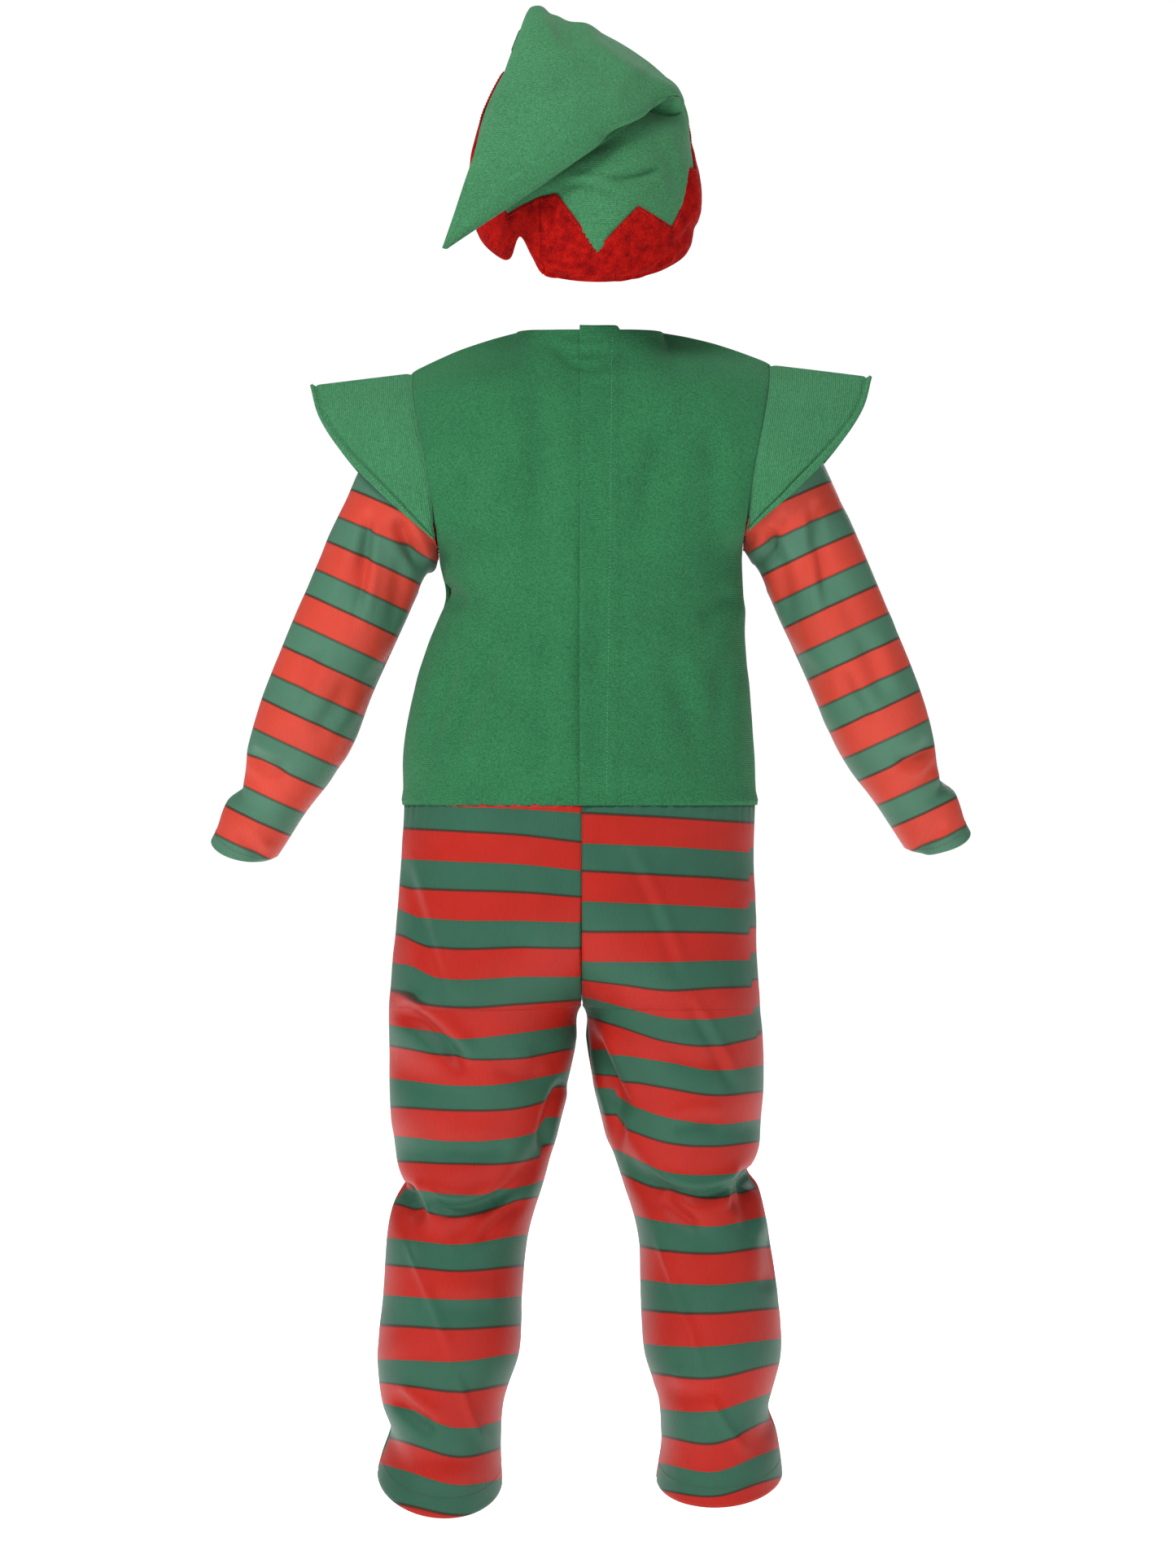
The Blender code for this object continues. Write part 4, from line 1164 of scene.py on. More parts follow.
# Bodice.
BODICE_STROKES = table(
    STROKE_COLUMNS,
    (-70, -72, -54, -116, -40, -190, 5.0, 13, 1.8),
    (24, -8, -8, -30, -52, -6, 2.6, 3.5, 1.4),
    (36, -20, 32, -100, 38, -196, 5.0, 11, 2.2),
    (62, -222, 82, -280, 106, -336, 4.0, 8, 2.2),
    (96, -236, 108, -290, 122, -330, 3.0, 7, 1.4),
    (109, -196, 100, -204, 88, -214, 4.6, 8, 1.4),
    (-118, -196, -104, -214, -88, -226, 4.0, 9, 1.4),
    (-60, -240, -84, -300, -96, -350, 3.6, 10, 1.4),
    (-112, -250, -104, -300, -112, -344, 2.8, 8, 1.1),
    (22, -210, 30, -280, 26, -350, 2.8, 9, 1.4),
    (70, -60, 84, -110, 92, -160, 3.0, 10, 1.4),
    (29, -4, 6, -19, -42, -14, 2.4, 4, 1.6),
    (-96, -60, -102, -120, -96, -180, 2.4, 10, 1.0),
)
BODICE_FRONT_STROKES = table(
    STROKE_COLUMNS,
    (70, -60, 46, -120, 40, -190, 3.5, 14, 1.3),
    (-66, -56, -44, -124, -36, -200, 3.5, 14, 1.3),
    (96, -210, 74, -260, 64, -330, 2.9, 10, 1.6),
    (-104, -214, -82, -266, -70, -336, 2.9, 10, 1.6),
    (20, -240, 6, -290, 14, -350, 2.2, 12, 1.3),
    (30, -60, 0, -74, -34, -62, 2.2, 7, 1.0),
)
BODICE_LONG = 330.0
# The bodice rolls a little over the waist seam.
WAIST_ROLL = 1.6
WAIST_ROLL_WIDE = 9.0
WAIST_HANGS = 1.4


def bodice_relief(face, across, row, bare):
    """Folds, side seams and the gathered waist of the bodice."""
    x, z = seen(bare) if face == BACK else (bare[..., 0], bare[..., 2])
    out = pressed(BODICE_STROKES if face == BACK else BODICE_FRONT_STROKES, x, z)
    out = out + seam_dip((1 - np.abs(across)) * BODICE_HALF_WIDTH)
    from_waist = (BODICE_ROWS - row) * BODICE_LONG / BODICE_ROWS
    out = out + 0.6 * gather(across * BODICE_HALF_WIDTH, from_waist, 5 + face)
    roll = WAIST_ROLL * (ease(1 - from_waist / WAIST_ROLL_WIDE) - 0.7 * ease(1 - from_waist / 1.6))
    return out + ripples(x, z, 4 + face) + roll


def own_side(face, points):
    """Holds points behind or in front of the shoulder and side seams."""
    points[..., 1] = face * np.maximum(face * points[..., 1], HALF_SEAM)
    return points


# The placket lies on the left back. Its free edge lies close at the neck and stands away towards the waist.
PLACKET_CLOTH = 0.6
PLACKET_LIES = 0.7
PLACKET_EDGE_STANDS = table("row stands", (0, 0.6), (2, -0.3), (4, 0.4), (5.5, 2.0), (8, 3.2), (10, 1.2))
PLACKET_SEAM_SINKS = 0.85
PLACKET_SEAM_WIDE = 9.0
TAB_SIDE = 1.5
# Each patch of the closing is sewn on under the placket and lifts it a little: its middle and size.
PATCHES = table("x z wide tall", (-13, -15, 15, 11), (-13, -83.5, 20, 20), (-9, -180, 19, 20), (-7.5, -274, 21, 20))
PATCH_STANDS = 0.8
PATCH_SOFT = 3.0


def placket_base(across, row):
    """The placket on the back, with its tab a little above the neckline."""
    point = bodice(BACK, across, row)
    beside = ease((point[..., 0] - PLACKET_RIGHT_X + TAB_SIDE) / TAB_SIDE)
    point[..., 2] += PLACKET_TAB * np.clip(1 - row / PLACKET_TAB_ROWS, 0, 1) * beside
    return point


def placket_relief(across, row, bare):
    """The placket follows the back's folds, lifts along its free edge and is sewn down at its right."""
    to_edge = ease(1 - (PLACKET_LEFT_X - bare[..., 0]) / 16)
    to_seam = ease(1 - (bare[..., 0] - PLACKET_RIGHT_X + PLACKET_LAP) / PLACKET_SEAM_WIDE)
    stands = curve(PLACKET_EDGE_STANDS["row"], PLACKET_EDGE_STANDS["stands"], row)
    pucker = 0.35 * uneven(bare[..., 2], 17.0, 3.1) * to_edge
    lies = PLACKET_LIES - PLACKET_SEAM_SINKS * to_seam + (stands + pucker) * to_edge
    for x, z, wide, tall in zip(*PATCHES.values()):
        in_x = ease((wide / 2 + PATCH_SOFT - np.abs(bare[..., 0] - x)) / PATCH_SOFT)
        in_z = ease((tall / 2 + PATCH_SOFT - np.abs(bare[..., 2] - z)) / PATCH_SOFT)
        lies = lies + PATCH_STANDS * in_x * in_z
    return bodice_relief(BACK, across, row, bare) + lies


BODICE_LINES = 110
BODICE_ROW_COUNT = 130
PLACKET_LINES = 18


def make_bodice(cloth, thickness):
    """A front, two backs and the placket that covers the closing."""
    rows = np.concatenate([np.linspace(0, 1, 24)[:-1], np.linspace(1, BODICE_ROWS, BODICE_ROW_COUNT - 23)])
    edge = np.full(rows.shape, 1 - HALF_SEAM / BODICE_HALF_WIDTH)
    under_placket = across_at(BACK, PLACKET_RIGHT_X + SEAM, rows)
    placket_edge = across_at(BACK, PLACKET_LEFT_X, rows)
    lap = across_at(BACK, PLACKET_RIGHT_X - PLACKET_LAP, rows)
    right_end = across_at(BACK, PLACKET_RIGHT_X, rows)
    half = BODICE_LINES // 2
    for name, face, sheet, start, end, lines in (
        ("bodice_front", FRONT, partial(bodice, FRONT), -edge, edge, BODICE_LINES),
        ("bodice_back_left", BACK, partial(bodice, BACK), under_placket, edge, half + 10),
        ("bodice_back_right", BACK, partial(bodice, BACK), -edge, right_end, half),
        ("back_placket", BACK, placket_base, lap, placket_edge, PLACKET_LINES),
    ):
        relief = placket_relief if name == "back_placket" else partial(bodice_relief, face)
        across, row = np.linspace(start, end, lines), np.broadcast_to(rows, (lines, len(rows)))
        points, faces = lay(sheet, face, BODICE_STEPS, relief, across, row)
        points[..., 2] -= WAIST_HANGS * ease(1 - (BODICE_ROWS - row) * BODICE_LONG / BODICE_ROWS / 5)
        own_side(face, points)
        wall, tucks = thickness, (SEAM_TUCK, SEAM_TUCK, 2.0, SEAM_TUCK)
        if name == "back_placket":
            wall, tucks = PLACKET_CLOTH, (0, 0, 0, 0)
        elif face == BACK:
            tucks = (0, SEAM_TUCK, 2.0, SEAM_TUCK) if name.endswith("left") else (SEAM_TUCK, 0, 2.0, SEAM_TUCK)
        make_cloth(f"{name}_cloth", points, faces, cloth, wall, name, tucks=tucks)


# Wings.
WING_LINES = 100
WING_ROW_COUNT = 56
WING_HEM = 10.0
WING_HEM_STANDS = 1.5
WING_HEM_GROOVE = 1.5
WING_LONG = 80.0
WING_UNDER = 0.05


def wing_hem(rib):
    """How wide the turned hem looks: nothing near the tip and more towards the underarm."""
    return WING_HEM * (0.35 + 0.65 * ease((np.abs(rib) - 0.8) / 2.6))


def wing_relief(side, rib, out, bare):
    """A turned hem round the wing's free edge, soft waves from seam to edge, and the seam itself."""
    from_edge = (1 - out) * WING_LONG * (1 - 0.13 * np.abs(rib))
    hem = wing_hem(rib)
    band = WING_HEM_STANDS * ease((hem - from_edge) / 1.6)
    groove = WING_HEM_GROOVE * np.exp(-(((from_edge - hem - 1.0) / 1.1) ** 2))
    rolled = 0.9 * ease(1 - from_edge / 2.0)
    wave = 1.1 * uneven(rib + 0.3 * side, 2.3, 2 + side) * np.sin(np.pi * np.clip(out, 0, 1)) ** 0.7
    return band - groove - rolled + wave + seam_dip(out * WING_LONG) - 1.2 * ease(-out / WING_UNDER)


def make_wings(cloth, thickness):
    """The pointed wing over each sleeve's head."""
    rib, out = grid(np.linspace(-WING_RIBS, WING_RIBS, WING_LINES), np.linspace(-WING_UNDER, 1, WING_ROW_COUNT))
    for side, name in SIDES:
        points, faces = lay(partial(wing, side), -side, WING_STEPS, partial(wing_relief, side), rib, out)
        node, tucks = f"wing_{name}", (0, 0, 0, 1.6)
        make_cloth(f"{node}_cloth", points, faces, cloth, thickness, node, tucks=tucks)


# Sleeves.
# Folds behind and in front of the left sleeve, and those of the right one as they look with its arm mirrored.
SLEEVE_STROKES = {
    LEFT: table(
        STROKE_COLUMNS,
        (146, -138, 134, -168, 118, -184, 3.6, 5, 1.8),
        (165, -131, 167, -182, 179, -238, 2.6, 4.5, 1.2),
        (165, -134, 168, -176, 175, -222, 4.6, 5, 1.9),
        (143, -142, 134, -160, 124, -182, 5.5, 6, 2.3),
        (205, -235, 212, -262, 224, -290, 2.7, 7, 1.5),
        (176, -262, 190, -290, 208, -312, 3.0, 7, 1.5),
        (262, -318, 244, -334, 222, -336, 4.6, 6, 1.9),
        (272, -366, 262, -378, 250, -392, 2.3, 5, 1.5),
        (190, -160, 200, -190, 204, -214, 2.3, 8, 1.1),
    ),
    RIGHT: table(
        STROKE_COLUMNS,
        (-156, -138, -148, -160, -133, -182, 3.6, 5, -1.8),
        (-177, -128, -176, -160, -171, -192, 2.4, 4.5, 1.2),
        (-179, -127, -183, -170, -192, -230, 4.6, 5, -1.9),
        (-136, -150, -146, -166, -150, -184, 4.9, 6, 2.3),
        (-216, -230, -224, -258, -236, -290, 2.7, 7, 1.5),
        (-196, -254, -208, -284, -226, -306, 3.0, 7, 1.5),
        (-276, -312, -258, -328, -236, -330, 4.6, 6, 1.9),
        (-286, -360, -274, -374, -262, -386, 2.3, 5, 1.5),
    ),
}
SLEEVE_LINES = 100
SLEEVE_ROW_COUNT = 150
SLEEVE_SEAM_TURN = 180.0


def sleeve_relief(side, turn, row, bare):
    """Folds of a sleeve: those seen from behind, and the same ones lower down in front."""
    x, z = seen(bare)
    behind = ease(0.5 + bare[..., 1] / 16)
    back_folds = pressed(SLEEVE_STROKES[side], x, z)
    front_folds = pressed(SLEEVE_STROKES[side], bare[..., 0] + side * 6, bare[..., 2] + 17)
    out = mix(front_folds, back_folds, behind)
    around = np.abs(np.mod(turn, 360) - SLEEVE_SEAM_TURN)
    out = out + seam_dip(around * SLEEVE_MM_PER_DEGREE)
    out = out + 0.7 * gather(turn * SLEEVE_MM_PER_DEGREE, row * SLEEVE_MM_PER_ROW, side + 7)
    return out + ripples(bare[..., 0], z, side + 9)


def make_sleeves(cloth, thickness):
    """A striped sleeve on each side, sewn along the underarm."""
    turn, row = grid(np.linspace(-180, 180, SLEEVE_LINES + 1), np.linspace(0, SLEEVE_ROWS, SLEEVE_ROW_COUNT))
    for side, name in SIDES:
        surface = partial(sleeve, side)
        points, faces = lay(surface, -side, SLEEVE_STEPS, partial(sleeve_relief, side), turn, row)
        points[-1], faces[-1] = points[0], faces[0]
        stripe = sleeve_stripe(side, surface(turn, row))
        node = f"sleeve_{name}"
        slot, tucks = "striped_satin", (0, 0, 0, HEM_TUCK)
        make_cloth(
            f"{node}_cloth", points, faces, cloth, thickness, node, stripe, ring=True, tucks=tucks
        )


# Hat.
HAT_STROKES = {
    BACK: table(
        STROKE_COLUMNS,
        (-14, 115, -40, 119, -64, 129, 3.6, 4, 2.0),
        (16, 110, -10, 110, -34, 100, 2.6, 3.5, 1.6),
        (-52, 150, -68, 128, -74, 100, 2.0, 5, 1.2),
        (40, 92, 28, 98, 12, 102, 1.2, 6, 0.6),
        (-50, 110, -60, 102, -66, 90, 1.0, 5, 0.5),
        (34, 124, 4, 138, -42, 156, 6.0, 8, 0),
    ),
    FRONT: table(
        STROKE_COLUMNS,
        (-8, 148, -34, 152, -64, 158, 3.2, 6, 2.0),
        (-26, 188, -50, 184, -70, 170, 2.6, 9, 1.0),
        (27, 256, 20, 240, 10, 220, 3.2, 5, 0),
        (14, 262, 8, 240, -2, 212, 6.5, 11, 0),
        (0, 240, -40, 216, -74, 184, 5.0, 13, 0),
        (10, 214, -16, 200, -30, 180, 2.0, 9, 0.8),
        (60, 110, 70, 96, 88, 74, -0.8, 9, 0),
    ),
}
CROWN_LINES = 96
CROWN_ROW_COUNT = 140
HAT_MM_PER_DEGREE = 1.3
# The brim presses the crown in where it covers it.
CROWN_SINKS = 4.6


def hat_relief(face, turn, row, bare):
    """Creases of the crown and its folded tail, and the two seams."""
    x, z = seen(bare)
    shown = ease((row - 3.4) / 0.9) if face == FRONT else ease((4.4 - row) / 0.9)
    out = shown * pressed(HAT_STROKES[face], x, z)
    from_seam = (90 - np.abs(np.mod(turn, 180) - 90)) * HAT_MM_PER_DEGREE
    narrow = np.clip((HAT_ROWS - row) / 4, 0.12, 1)
    under_brim = CROWN_SINKS * ease((zigzag(turn) - row - 0.05) / 0.12)
    waves_of_cloth = ripples(x, z, 12 + face) * ease((HAT_ROWS - row) / 2)
    return out + 0.8 * seam_dip(from_seam * narrow) + waves_of_cloth - under_brim


def make_crown(cloth, thickness):
    """Two long green panels sewn into a cone that folds over behind."""
    for face, first, name in ((BACK, 0, "back"), (FRONT, 180, "front")):
        turn = np.linspace(first + CROWN_HALF_GAP_TURN, first + 180 - CROWN_HALF_GAP_TURN, CROWN_LINES)[:, None]
        low = brim_edge_row(turn) + CROWN_ABOVE_BRIM_EDGE
        row = low + (HAT_ROWS - low) * np.linspace(0, 1, CROWN_ROW_COUNT)
        turn, row = np.broadcast_arrays(turn, row)
        points, faces = lay(hat, 1, HAT_STEPS, partial(hat_relief, face), turn, row)
        node, tucks = f"hat_{name}", (1.0, 1.0, 0, 0)
        make_cloth(f"{node}_cloth", points, faces, cloth, thickness, node, tucks=tucks)


# Brim.
BRIM_STROKES = table(
    STROKE_COLUMNS,
    (42, 50, -2, 35, -46, 43, 2.4, 2.6, 1.4),
    (-40, 42, -66, 46, -83, 70, 2.2, 2.6, 1.2),
    (46, 62, 16, 41, -20, 43, 4.0, 3.4, 3.2),
    (-14, 43, -48, 42, -74, 66, 4.0, 3.4, 3.2),
    (-70, 62, -80, 72, -88, 84, 2.7, 4, 1.7),
    (20, 100, 22, 88, 26, 72, 2.4, 2.5, 1.4),
    (-80, 130, -82, 104, -78, 78, 2.7, 4, 1.4),
    (60, 96, 66, 80, 62, 62, 2.4, 5, 1.4),
    (8, 84, -10, 66, -30, 60, 1.8, 7, 1.2),
)
BRIM_LINES_PER_EDGE = 21
BRIM_ROW_COUNT = 40
BRIM_ROLL = 3.0
BRIM_LIES = 1.4


def brim_base(turn, row):
    """The brim stands a little way off the crown."""
    return hat(turn, row) + BRIM_LIES * outward(hat, turn, row, *HAT_STEPS)


def brim_relief(low, top, turn, row, bare):
    """Creases of the brim, its seam behind the left ear, and its rounded edges."""
    x, z = seen(bare)
    out = np.where(bare[..., 1] > -20, pressed(BRIM_STROKES, x, z), 0)
    out = out + 0.8 * uneven(turn, 47, 1.7) * uneven(row, 0.9, 2.9)
    from_edge = np.minimum(row - low(turn), top(turn) - row) * 42
    return out - 0.7 * ease(1 - from_edge / BRIM_ROLL)


def zigzag(turn):
    """The row of the brim's upper edge."""
    first = ZIGZAG["turn"][0]
    return np.interp(first + np.mod(turn - first, 360), ZIGZAG["turn"], ZIGZAG["row"])


def make_brim(cloth, thickness):
    """The red velvet band with a zigzag upper edge."""
    corners = ZIGZAG["turn"]
    shares = np.arange(BRIM_LINES_PER_EDGE) / BRIM_LINES_PER_EDGE
    turns = np.concatenate([(corners[:-1, None] + np.diff(corners)[:, None] * shares).ravel(), corners[-1:]])
    turns = np.clip(turns, corners[0] + BRIM_HALF_GAP_TURN, corners[-1] - BRIM_HALF_GAP_TURN)[:, None]
    row = brim_edge_row(turns) + (zigzag(turns) - brim_edge_row(turns)) * np.linspace(0, 1, BRIM_ROW_COUNT)
    turn, row = np.broadcast_arrays(turns, row)
    relief = partial(brim_relief, brim_edge_row, zigzag)
    points, faces = lay(brim_base, 1, HAT_STEPS, relief, turn, row)
    tucks = (SEAM_TUCK, SEAM_TUCK, 0, 0)
    make_cloth("hat_brim_cloth", points, faces, cloth, thickness, "hat_brim", tucks=tucks)


# Stitching.
STITCH_SEED = 7
# A stitch's share of its pitch.
STITCH_FILLS = 0.56


def stitch_tree(thread):
    """A Geometry Nodes tree that lays stitches along a line: its inputs are the pitch, thickness and seed."""
    tree = bpy.data.node_groups.new("stitches", "GeometryNodeTree")
    tree.interface.new_socket("Line", in_out="INPUT", socket_type="NodeSocketGeometry")
    tree.interface.new_socket("Stitch pitch", in_out="INPUT", socket_type="NodeSocketFloat")
    tree.interface.new_socket("Thread thickness", in_out="INPUT", socket_type="NodeSocketFloat")
    tree.interface.new_socket("Seed", in_out="INPUT", socket_type="NodeSocketInt")
    tree.interface.new_socket("Stitches", in_out="OUTPUT", socket_type="NodeSocketGeometry")
    line, pitch, thickness, seed, _ = add(tree, "NodeGroupInput")
    path = add(tree, "GeometryNodeMeshToCurve", {"Mesh": line})[0]
    spaced = add(tree, "GeometryNodeResampleCurve", {"Curve": path, "Length": pitch}, mode="LENGTH")[0]
    tangent = add(tree, "GeometryNodeInputTangent")[0]
    turned = add(tree, "FunctionNodeAlignRotationToVector", {"Vector": tangent}, axis="X")[0]
    stitch = add(tree, "GeometryNodeMeshUVSphere", {"Segments": 6, "Rings": 4, "Radius": 0.5})[0]
    long = add(tree, "ShaderNodeMath", {0: pitch, 1: STITCH_FILLS}, operation="MULTIPLY")[0]
    size = add(tree, "ShaderNodeCombineXYZ", {0: long, 1: thickness, 2: thickness})[0]
    limits = {"Min": 0.86, "Max": 1.12, "Seed": seed}
    random = add(tree, "FunctionNodeRandomValue", limits, data_type="FLOAT")[1]
    scaled = add(tree, "ShaderNodeVectorMath", {0: size, 3: random}, operation="SCALE")[0]
    placed = {"Points": spaced, "Instance": stitch, "Rotation": turned, "Scale": scaled}
    stitches = add(tree, "GeometryNodeInstanceOnPoints", placed)[0]
    real = add(tree, "GeometryNodeRealizeInstances", {"Geometry": stitches})[0]
    coated = add(tree, "GeometryNodeSetMaterial", {"Geometry": real, "Material": thread})[0]
    add(tree, "NodeGroupOutput", {"Stitches": coated})
    return tree


def socket_of(tree, name):
    return next(item.identifier for item in tree.interface.items_tree if item.name == name)


def sew(name, lines, thread, sizes):
    """Stitches along lines of points in mm, made a plain mesh."""
    data = bpy.data.meshes.new(name)
    starts = np.cumsum([0] + [len(line) for line in lines])
    edges = [(i, i + 1) for a, b in zip(starts, starts[1:]) for i in range(a, b - 1)]
    data.from_pydata((np.concatenate(lines) * MM).tolist(), edges, [])
    piece = bpy.data.objects.new(name, data)
    bpy.context.scene.collection.objects.link(piece)
    tree = stitch_tree(thread)
    laid = piece.modifiers.new("stitches", "NODES")
    laid.node_group = tree
    laid[socket_of(tree, "Stitch pitch")] = sizes.stitch_pitch
    laid[socket_of(tree, "Thread thickness")] = sizes.thread
    laid[socket_of(tree, "Seed")] = STITCH_SEED
    made = piece.evaluated_get(bpy.context.evaluated_depsgraph_get())
    plain = bpy.data.meshes.new_from_object(made)
    piece.modifiers.remove(laid)
    piece.data = plain
    plain.shade_smooth()
    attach(piece, "root")
    return piece


def on_cloth(surface, facing, steps, relief, u, v, lift):
    """Points on a piece of cloth, a little above it."""
    points, faces = lay(surface, facing, steps, relief, u, v)
    return points + faces * lift


STITCH_LIFT = 0.1
LINE_POINTS = 160
# Where the placket's stitches run, as how far they look to the left of the costume's middle.
PLACKET_LINE = ((-23.0, -14.0), (-18.5, -356.0))


def row_at(z):
    """The bodice row at the middle of the back that is at this height."""
    heights = bodice(BACK, np.zeros(200), np.linspace(0, BODICE_ROWS, 200))[:, 2]
    return np.interp(-np.asarray(z, float), -heights, np.linspace(0, BODICE_ROWS, 200))


def placket_lines():
    """The seam line down the placket."""
    (x0, z0), (x1, z1) = PLACKET_LINE
    line = np.linspace([x0, z0], [x1, z1], LINE_POINTS)
    row = row_at(line[:, 1])
    across = across_at(BACK, line[:, 0], row)
    return [on_cloth(placket_base, BACK, BODICE_STEPS, placket_relief, across, row, STITCH_LIFT)]


def hem_lines():
    """Rows of stitches above the hems of the trousers and sleeves."""
    made = []
    for side, _ in SIDES:
        for low, high in ((1, 179), (-179, -1)):
            turn = np.linspace(low, high, LINE_POINTS)
            place = partial(leg, side), side, LEG_STEPS, partial(leg_relief, side)
            made.append(on_cloth(*place, turn, HEM_Z + HEM_STITCH_UP, STITCH_LIFT))
        turn = np.linspace(-180, 180, LINE_POINTS)
        place = partial(sleeve, side), -side, SLEEVE_STEPS, partial(sleeve_relief, side)
        made.append(on_cloth(*place, turn, SLEEVE_ROWS - SLEEVE_HEM_ROWS, STITCH_LIFT))
    return made


SLEEVE_HEM_ROWS = 0.75


def wing_lines():
    """A row of stitches along each wing's turned hem."""
    made = []
    rib = np.linspace(-WING_RIBS + 0.05, WING_RIBS - 0.05, LINE_POINTS)
    for side, _ in SIDES:
        out = 1 - (wing_hem(rib) - 1.5) / (WING_LONG * (1 - 0.13 * np.abs(rib)))
        place = partial(wing, side), -side, WING_STEPS, partial(wing_relief, side)
        made.append(on_cloth(*place, rib, out, STITCH_LIFT))
    return made


def brim_lines():
    """Rows of stitches just inside the brim's zigzag and its lower edge."""
    turn = np.linspace(ZIGZAG["turn"][0] + 1, ZIGZAG["turn"][-1] - 1, 6 * LINE_POINTS)
    relief = partial(brim_relief, brim_edge_row, zigzag)
    place = brim_base, 1, HAT_STEPS, relief, turn
    return [on_cloth(*place, zigzag(turn) - 0.07, STITCH_LIFT), on_cloth(*place, brim_edge_row(turn) + 0.08, STITCH_LIFT)]


# Operators, one for each piece or group of like pieces, and one for the stage.
class CostumeOperator(Operator):
    """Shared settings of the costume's operators."""

    bl_options = {"REGISTER", "UNDO"}

    @property
    def sizes(self):
        return bpy.context.scene.elf_costume_sizes

    @property
    def colours(self):
        return bpy.context.scene.elf_costume_colours


class ELF_OT_trousers(CostumeOperator):
    """Make the four striped panels of the trousers"""

    bl_idname = "elf.trousers"
    bl_label = "Trousers"

    def execute(self, context):
        # 0.12 is the strength of the painted shadow line under the red stripes.
        knit = striped_knit("leg_striped_satin_knit", self.colours.leg_red, self.colours.leg_green, 0.85, 0.12)
        make_trousers(knit, self.sizes.knit_thickness / MM)
        return {"FINISHED"}


class ELF_OT_bodice(CostumeOperator):
    """Make the green bodice: its front, two backs and placket"""

    bl_idname = "elf.bodice"
    bl_label = "Bodice"

    def execute(self, context):
        knit = brushed_knit("bodice_brushed_knit", self.colours.bodice, 1, RIB, 0.16)
        make_bodice(knit, self.sizes.knit_thickness / MM)
        return {"FINISHED"}


class ELF_OT_wings(CostumeOperator):
    """Make the two pointed shoulder wings"""

    bl_idname = "elf.wings"
    bl_label = "Wings"

    def execute(self, context):
        knit = brushed_knit("wing_ribbed_knit", self.colours.wings, 1, RIB, 0.3)
        make_wings(knit, self.sizes.knit_thickness / MM)
        return {"FINISHED"}


class ELF_OT_sleeves(CostumeOperator):
    """Make the two striped sleeves"""

    bl_idname = "elf.sleeves"
    bl_label = "Sleeves"

    def execute(self, context):
        # The sleeves' satin is painted lighter than the trousers': painted light.
        knit = striped_knit("sleeve_striped_satin_knit_painted_lit", self.colours.sleeve_red_painted_lit, self.colours.sleeve_green_painted_lit, 0.8, 0.6)
        make_sleeves(knit, self.sizes.knit_thickness / MM)
        return {"FINISHED"}


class ELF_OT_hat(CostumeOperator):
    """Make the hat's green crown and its red velvet brim"""

    bl_idname = "elf.hat"
    bl_label = "Hat"

    def execute(self, context):
        felt = brushed_knit("hat_brushed_fleece", self.colours.hat, 1, RIB, 0.12)
        make_crown(felt, self.sizes.knit_thickness / MM)
        velvet = crushed_velvet("brim_crushed_velvet", self.colours.velvet_painted_shade, self.colours.velvet_painted_sheen)
        make_brim(velvet, self.sizes.velvet_thickness / MM)
        return {"FINISHED"}


class ELF_OT_stitching(CostumeOperator):
    """Sew the placket, the hems and the brim"""

    bl_idname = "elf.stitching"
    bl_label = "Stitching"

    def execute(self, context):
        green = spun_thread("green_spun_thread", linear("58a072"))
        red = spun_thread("red_spun_thread", linear("a32a25"))
        dark = spun_thread("dark_spun_thread", linear("5b2b22"))
        sew("placket_stitching", placket_lines(), green, self.sizes)
        sew("hem_stitching", hem_lines(), dark, self.sizes)
        sew("wing_stitching", wing_lines(), green, self.sizes)
        sew("brim_stitching", brim_lines(), red, self.sizes)
        return {"FINISHED"}


FLOOR_Z = -0.9145
FLOOR_REACH = 30.0
FLOOR_GLOW = 0.96
STUDIO_FILL = 0.15
LIGHTS = {
    # name: where it stands, in metres, how wide it is, and its power in watts
    "key_softbox": ((1.9, 2.4, 2.2), 1.0, 96.0),
    "fill_softbox": ((-2.8, 2.2, 0.5), 1.6, 12.0),
    "top_softbox": ((0.0, 0.4, 2.3), 1.6, 22.0),
    "front_softbox": ((-0.6, -3.2, 1.0), 2.0, 34.0),
}
LIGHT_AIMS_AT = (0.0, 0.0, -0.35)
SENSOR = 36.0


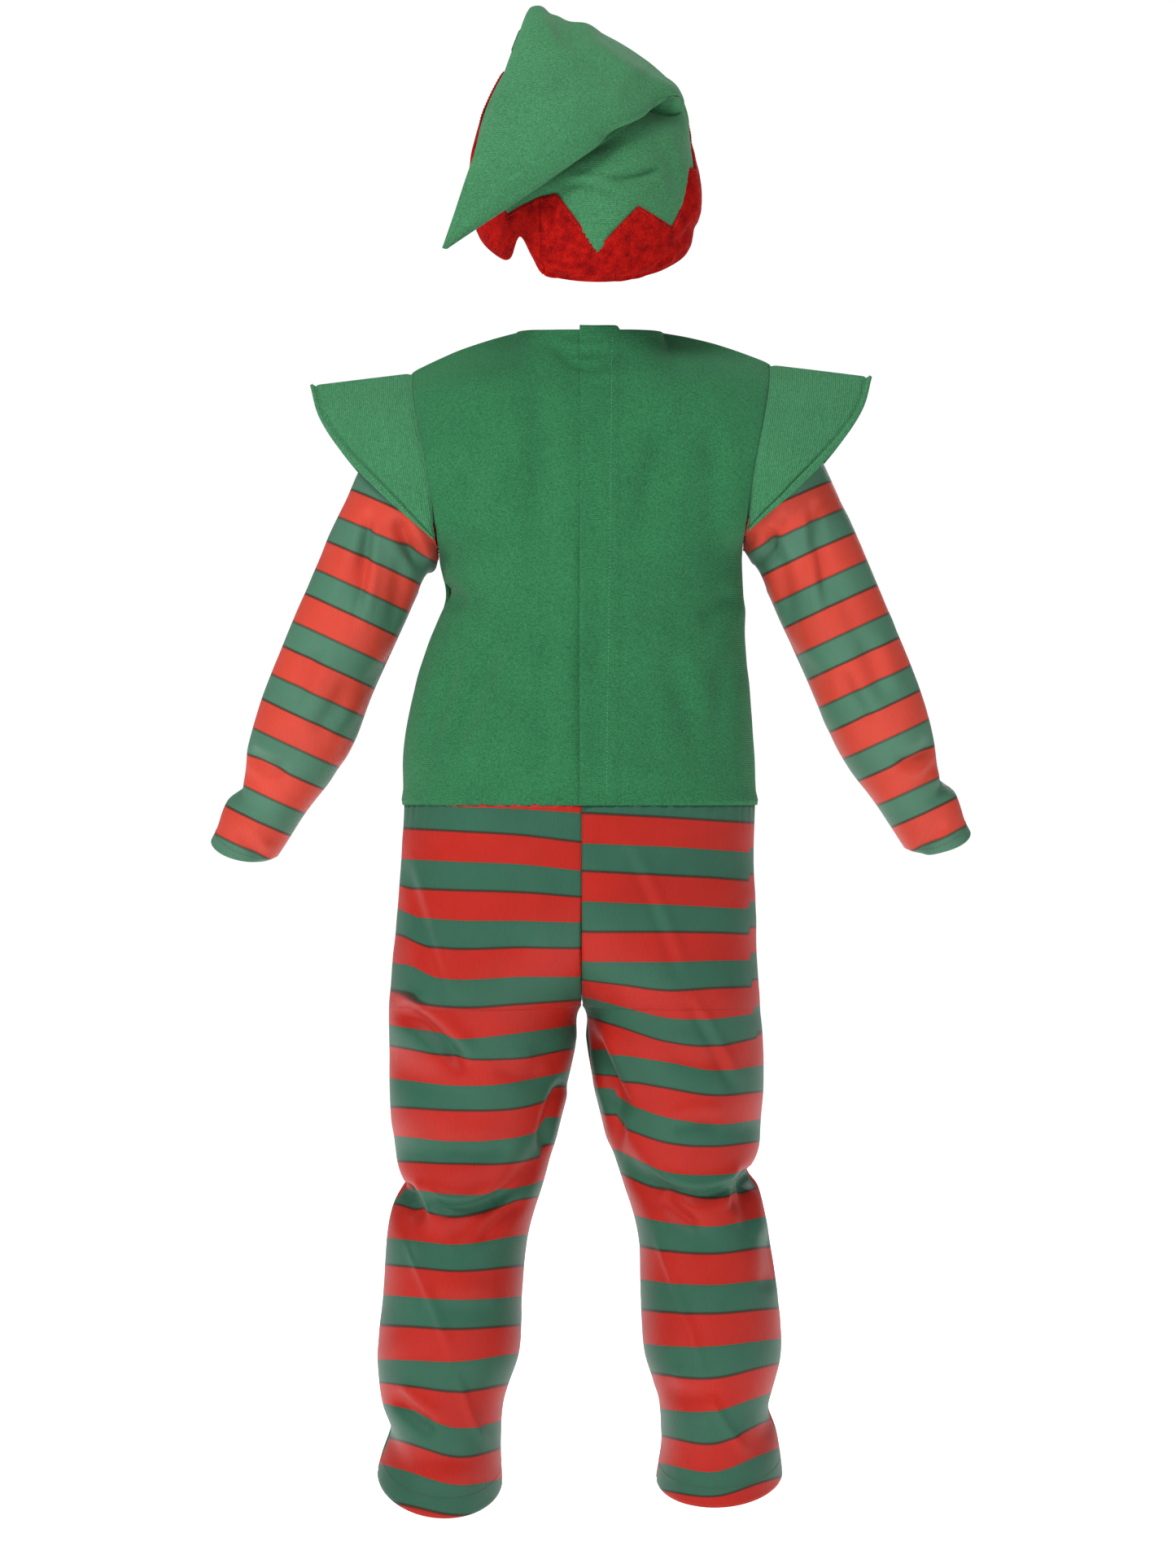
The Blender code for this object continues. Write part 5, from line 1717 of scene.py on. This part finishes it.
class ELF_OT_stage(CostumeOperator):
    """Set the pale floor, the soft lights and the camera"""

    bl_idname = "elf.stage"
    bl_label = "Stage"

    def execute(self, context):
        scene = context.scene
        corners = [(x * FLOOR_REACH, y * FLOOR_REACH, FLOOR_Z) for x, y in ((-1, -1), (1, -1), (1, 1), (-1, 1))]
        data = bpy.data.meshes.new("floor")
        data.from_pydata(corners, [], [(0, 1, 2, 3)])
        paper, tree = new_material("matt_white_paper")
        sockets = {"Base Color": self.colours.floor, "Roughness": 0.9, "Emission Strength": FLOOR_GLOW}
        surface = add(tree, "ShaderNodeBsdfPrincipled", {**sockets, "Emission Color": self.colours.floor})[0]
        add(tree, "ShaderNodeOutputMaterial", {"Surface": surface})
        data.materials.append(paper)
        floor = bpy.data.objects.new("floor", data)
        scene.collection.objects.link(floor)

        for name, (place, size, power) in LIGHTS.items():
            lamp = bpy.data.lights.new(name, "AREA")
            lamp.shape, lamp.size, lamp.energy = "DISK", size, power
            lit = bpy.data.objects.new(name, lamp)
            scene.collection.objects.link(lit)
            lit.location = place
            aim = Vector(LIGHT_AIMS_AT) - Vector(place)
            lit.rotation_euler = aim.to_track_quat("-Z", "Y").to_euler()

        # The backdrop is lit apart and looks white, and less of its light falls on the costume.
        world = bpy.data.worlds.new("white_studio")
        world.use_nodes = True
        world.node_tree.nodes.clear()
        sky = world.node_tree
        looked_at = add(sky, "ShaderNodeLightPath")["Is Camera Ray"]
        strength = add(sky, "ShaderNodeMapRange", {"Value": looked_at, "To Min": STUDIO_FILL, "To Max": 1.0})[0]
        backdrop = add(sky, "ShaderNodeBackground", {"Color": (1, 1, 1, 1), "Strength": strength})[0]
        add(sky, "ShaderNodeOutputWorld", {"Surface": backdrop})
        scene.world = world
        scene.view_settings.view_transform = "Standard"

        lens = bpy.data.cameras.new("camera")
        lens.sensor_fit, lens.sensor_height = "VERTICAL", SENSOR
        lens.lens = SENSOR * CAMERA_AWAY / FRAME_TALL
        camera = bpy.data.objects.new("camera", lens)
        scene.collection.objects.link(camera)
        camera.location = (CAMERA_X * MM, CAMERA_AWAY * MM, CAMERA_Z * MM)
        camera.rotation_euler = (np.pi / 2, 0, np.pi)
        scene.camera = camera
        return {"FINISHED"}


OPERATORS = (
    ELF_OT_stage,
    ELF_OT_trousers,
    ELF_OT_bodice,
    ELF_OT_sleeves,
    ELF_OT_wings,
    ELF_OT_hat,
    ELF_OT_stitching,
)


class ELF_PT_costume(Panel):
    """The costume's pieces, sizes and colours"""

    bl_label = "Elf costume"
    bl_idname = "ELF_PT_costume"
    bl_space_type = "VIEW_3D"
    bl_region_type = "UI"
    bl_category = "Elf costume"

    def draw(self, context):
        for operator in OPERATORS:
            self.layout.operator(operator.bl_idname)
        for group in (context.scene.elf_costume_sizes, context.scene.elf_costume_colours):
            for name in group.__annotations__:
                self.layout.prop(group, name)


CLASSES = (ElfCostumeSizes, ElfCostumeColours, *OPERATORS, ELF_PT_costume)


def register():
    for made in CLASSES:
        bpy.utils.register_class(made)
    bpy.types.Scene.elf_costume_sizes = PointerProperty(type=ElfCostumeSizes)
    bpy.types.Scene.elf_costume_colours = PointerProperty(type=ElfCostumeColours)


def unregister():
    del bpy.types.Scene.elf_costume_colours
    del bpy.types.Scene.elf_costume_sizes
    for made in reversed(CLASSES):
        bpy.utils.unregister_class(made)


def main():
    register()
    bpy.ops.elf.stage()
    bpy.ops.elf.trousers()
    bpy.ops.elf.bodice()
    bpy.ops.elf.sleeves()
    bpy.ops.elf.wings()
    bpy.ops.elf.hat()
    bpy.ops.elf.stitching()


if __name__ == "__main__":
    main()
